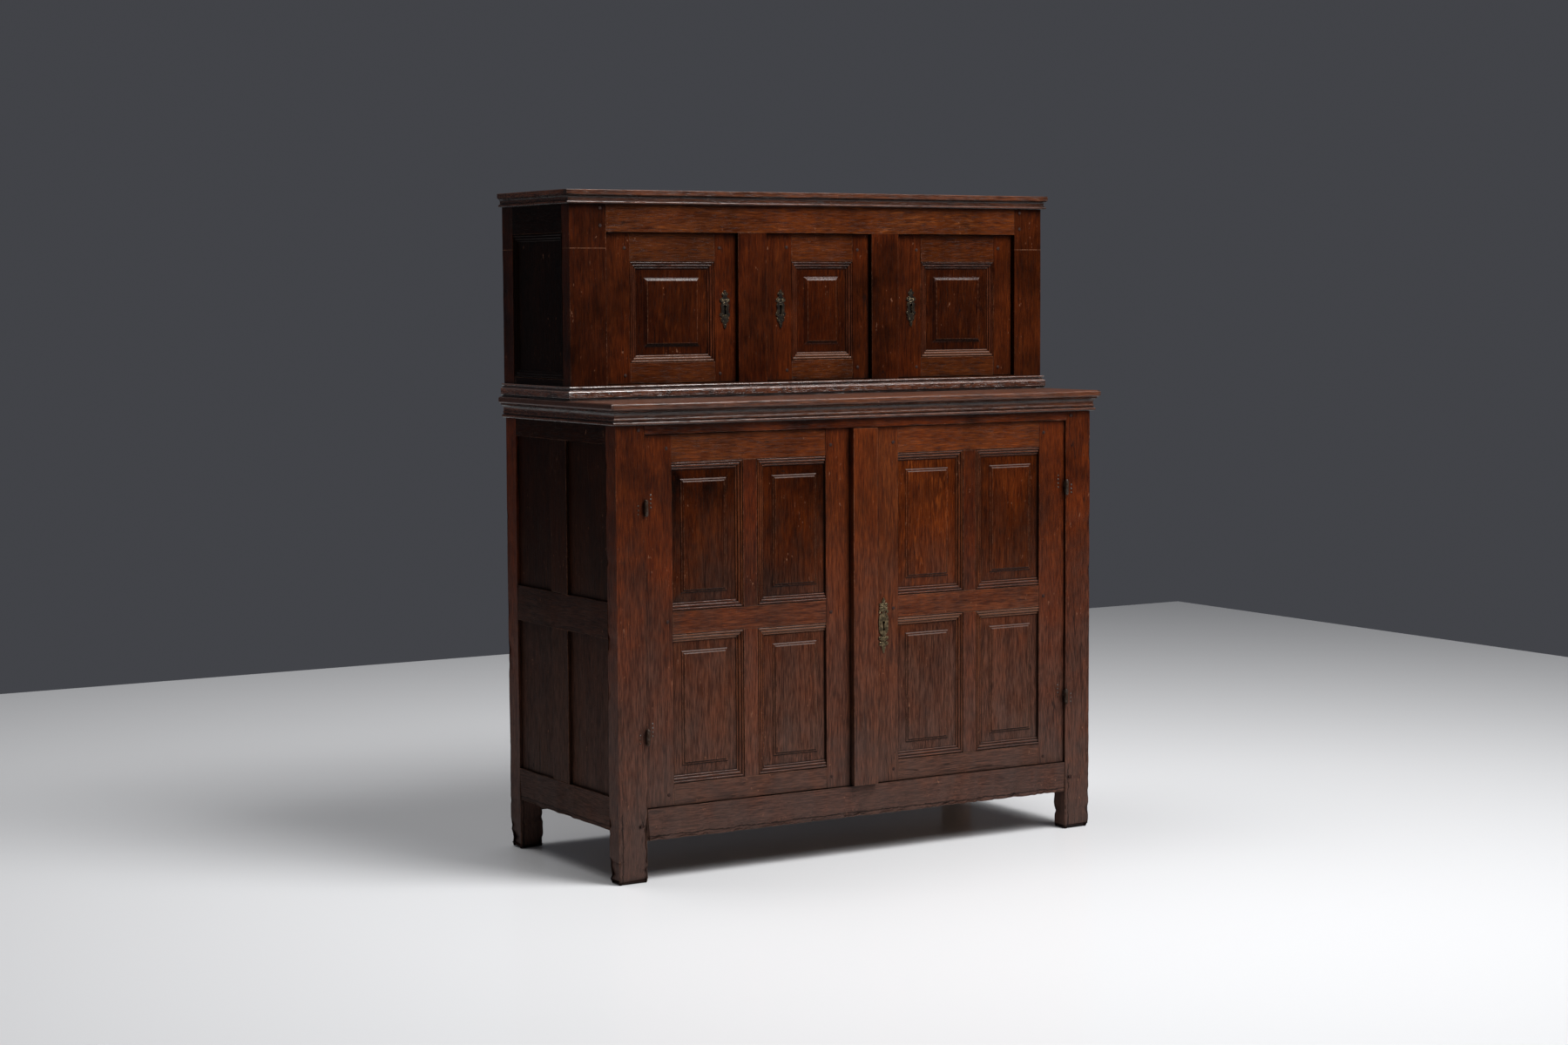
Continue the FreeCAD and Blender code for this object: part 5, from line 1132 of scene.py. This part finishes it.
class CUPBOARD_OT_ironwork(bpy.types.Operator):
    """Hinges, pivots, lock cases, bolts and staples"""

    bl_idname = "cupboard.ironwork"
    bl_label = "Ironwork"

    def execute(self, context):
        iron = metal_of("old_iron")
        fittings = [("post_hinge_halves", "case"), ("lower_left_door_hinge_halves", "lower_left_door"),
                    ("lower_right_door_hinge_halves", "lower_right_door"),
                    ("flat_bolt_staples", "lower_left_door"), ("left_door_flat_bolt", "left_door_flat_bolt"),
                    ("lower_lock_case", "lower_right_door"), ("lower_lock_bolt", "lower_lock_bolt")]
        for door in UPPER_DOORS:
            fittings.append((f"{door}_ironwork", door))
            fittings.append((f"{door}_lock_bolt", door.replace("_door", "_lock_bolt")))
        for node, body in fittings:
            dress(f"{node}_iron", node, body, "iron", iron, fine=True, rough=0.15, wander=0)
        # Nails stand beside the hinge: outwards on the posts, and towards the door's middle on the doors
        rows = [("case_hinge_nails", "case", "post_hinge_halves", "lower_posts", 0)]
        rows += [(f"{door}_hinge_nails", door, f"{door}_hinge_halves", f"{door}_stiles", side)
                 for door, side in zip(LOWER_DOORS, (1, -1))]
        for name, body, node, timber, side in rows:
            places = hinge_nail_places(node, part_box(timber)[0].y, side)
            driven_heads(name, body, places, NAIL_RADIUS, NAIL_RISE, iron)
        return {"FINISHED"}


class CUPBOARD_OT_escutcheons(bpy.types.Operator):
    """The pierced brass plates round the keyholes"""

    bl_idname = "cupboard.escutcheons"
    bl_label = "Escutcheons"

    def execute(self, context):
        escutcheon("lower_escutcheon", "lower_right_door", LOWER_PLATE_SHARES, LOWER_HOLE_SHARES,
                   metal_of("old_brass"))
        for door in UPPER_DOORS:
            escutcheon(f"{door}_escutcheon", door, UPPER_PLATE_SHARES, UPPER_HOLE_SHARES,
                       metal_of("old_bronze"))
        return {"FINISHED"}


# Floor: half its length, how far it reaches behind, and how far beside the middle its edge turns
FLOOR_HALF = 14.0
FLOOR_BEHIND = 3.4
FLOOR_BESIDE = 3.9
FLOOR_GLOSS = 0.22
# Place and width of each soft lamp
LAMPS = {
    "key": ((2.6, -3.2, 4.6), 2.2),
    "fill": ((1.2, -4.2, 4.8), 2.6),
    "top": ((1.1, -2.1, 4.8), 2.0),
    "ceiling": ((-0.9, 1.3, 4.9), 3.0),
}


class CUPBOARD_OT_stage(bpy.types.Operator):
    """Pale floor, soft lamps and the light from all round"""

    bl_idname = "cupboard.stage"
    bl_label = "Stage"

    def lay_floor(self, look):
        """A floor that is cut off behind and at the right, with nothing but the backdrop beyond."""
        floor = bpy.data.meshes.new("floor")
        floor.from_pydata([(-FLOOR_HALF, -FLOOR_HALF, 0), (FLOOR_HALF, -FLOOR_HALF, 0),
                           (FLOOR_HALF, -FLOOR_BESIDE, 0), (FLOOR_BESIDE, 0, 0),
                           (FLOOR_BESIDE, FLOOR_BEHIND, 0), (-FLOOR_HALF, FLOOR_BEHIND, 0)],
                          [], [(0, 1, 2, 3, 4, 5)])
        ground = bpy.data.objects.new("floor", floor)
        bpy.context.scene.collection.objects.link(ground)
        paint = Finish("floor_paint")
        paint.feed(paint.shader.inputs["Base Color"], look.floor)
        paint.shader.inputs["Roughness"].default_value = FLOOR_GLOSS
        floor.materials.append(paint.material)

    def hang_lamps(self, look):
        """Wide square lamps that shine on the middle of the cupboard."""
        middle = Vector((0, 0, CAD_BOX[1][2] / 2))
        for name, (place, size) in LAMPS.items():
            lamp = bpy.data.lights.new(name, "AREA")
            lamp.shape = "SQUARE"
            lamp.size = size
            lamp.energy = getattr(look, name)
            lamp.spread = math.radians(LAMP_SPREAD)
            holder = bpy.data.objects.new(name, lamp)
            holder.location = place
            holder.rotation_euler = (middle - Vector(place)).to_track_quat("-Z", "Y").to_euler()
            bpy.context.scene.collection.objects.link(holder)

    def fill_air(self, look):
        """Soft light from all round, with the backdrop where the camera or a gloss sees past the floor."""
        world = bpy.data.worlds.new("air")
        world.use_nodes = True
        nodes, link = world.node_tree.nodes, world.node_tree.links.new
        seen = nodes["Background"]
        seen.inputs["Color"].default_value = (*look.backdrop, 1)
        soft = nodes.new("ShaderNodeBackground")
        soft.inputs["Color"].default_value = (*look.air, 1)
        path = nodes.new("ShaderNodeLightPath")
        either = nodes.new("ShaderNodeMath")
        either.operation = "MAXIMUM"
        choice = nodes.new("ShaderNodeMixShader")
        link(path.outputs["Is Camera Ray"], either.inputs[0])
        link(path.outputs["Is Glossy Ray"], either.inputs[1])
        for number, output in enumerate((either.outputs[0], soft.outputs[0], seen.outputs[0])):
            link(output, choice.inputs[number])
        link(choice.outputs[0], nodes["World Output"].inputs["Surface"])
        bpy.context.scene.world = world

    def execute(self, context):
        look = context.scene.cupboard_studio
        self.lay_floor(look)
        self.hang_lamps(look)
        self.fill_air(look)
        context.scene.view_settings.view_transform = "Standard"
        return {"FINISHED"}


class CUPBOARD_OT_camera(bpy.types.Operator):
    """The camera at the photographed view"""

    bl_idname = "cupboard.camera"
    bl_label = "Camera"

    def execute(self, context):
        lens = bpy.data.cameras.new("view")
        lens.sensor_fit = "HORIZONTAL"
        lens.sensor_width = FILM_WIDTH
        lens.lens = FOCAL_PIXELS / PHOTO_WIDTH * FILM_WIDTH
        lens.clip_end = 60
        camera = bpy.data.objects.new("view", lens)
        ahead = Vector((math.sin(CAMERA_YAW) * math.cos(CAMERA_PITCH),
                        math.cos(CAMERA_YAW) * math.cos(CAMERA_PITCH), math.sin(CAMERA_PITCH)))
        level = Vector((math.cos(CAMERA_YAW), -math.sin(CAMERA_YAW), 0))
        above = level.cross(ahead)
        right = level * math.cos(CAMERA_ROLL) + above * math.sin(CAMERA_ROLL)
        up = above * math.cos(CAMERA_ROLL) - level * math.sin(CAMERA_ROLL)
        camera.matrix_world = Matrix.Translation(CAMERA_PLACE) @ Matrix(
            (right, up, -ahead)).transposed().to_4x4()
        context.scene.collection.objects.link(camera)
        context.scene.camera = camera
        return {"FINISHED"}


STEPS = (CUPBOARD_OT_camera, CUPBOARD_OT_stage, CUPBOARD_OT_lower_case, CUPBOARD_OT_upper_case,
         CUPBOARD_OT_inside, CUPBOARD_OT_lower_doors, CUPBOARD_OT_upper_doors, CUPBOARD_OT_ironwork,
         CUPBOARD_OT_escutcheons)


class CUPBOARD_PT_panel(bpy.types.Panel):
    """Lists the cupboard's looks and steps in the sidebar"""

    bl_label = "Court cupboard"
    bl_idname = "CUPBOARD_PT_panel"
    bl_space_type = "VIEW_3D"
    bl_region_type = "UI"
    bl_category = "Cupboard"

    def draw(self, context):
        for group in (context.scene.cupboard_timber, context.scene.cupboard_metal,
                      context.scene.cupboard_studio):
            box = self.layout.box()
            for name in group.__annotations__:
                box.prop(group, name)
        for step in STEPS:
            self.layout.operator(step.bl_idname)


GROUPS = {"cupboard_timber": TimberLook, "cupboard_metal": MetalLook, "cupboard_studio": StudioLook}


def register():
    for group in GROUPS.values():
        bpy.utils.register_class(group)
    for step in (*STEPS, CUPBOARD_PT_panel):
        bpy.utils.register_class(step)
    for name, group in GROUPS.items():
        setattr(bpy.types.Scene, name, bpy.props.PointerProperty(type=group))


def unregister():
    for name in GROUPS:
        delattr(bpy.types.Scene, name)
    for step in (CUPBOARD_PT_panel, *reversed(STEPS)):
        bpy.utils.unregister_class(step)
    for group in GROUPS.values():
        bpy.utils.unregister_class(group)


def main():
    """Build every piece in order."""
    register()
    for step in STEPS:
        family, name = step.bl_idname.split(".")
        if getattr(getattr(bpy.ops, family), name)() != {"FINISHED"}:
            raise RuntimeError(f"{step.bl_label} did not finish")


if __name__ == "__main__":
    main()
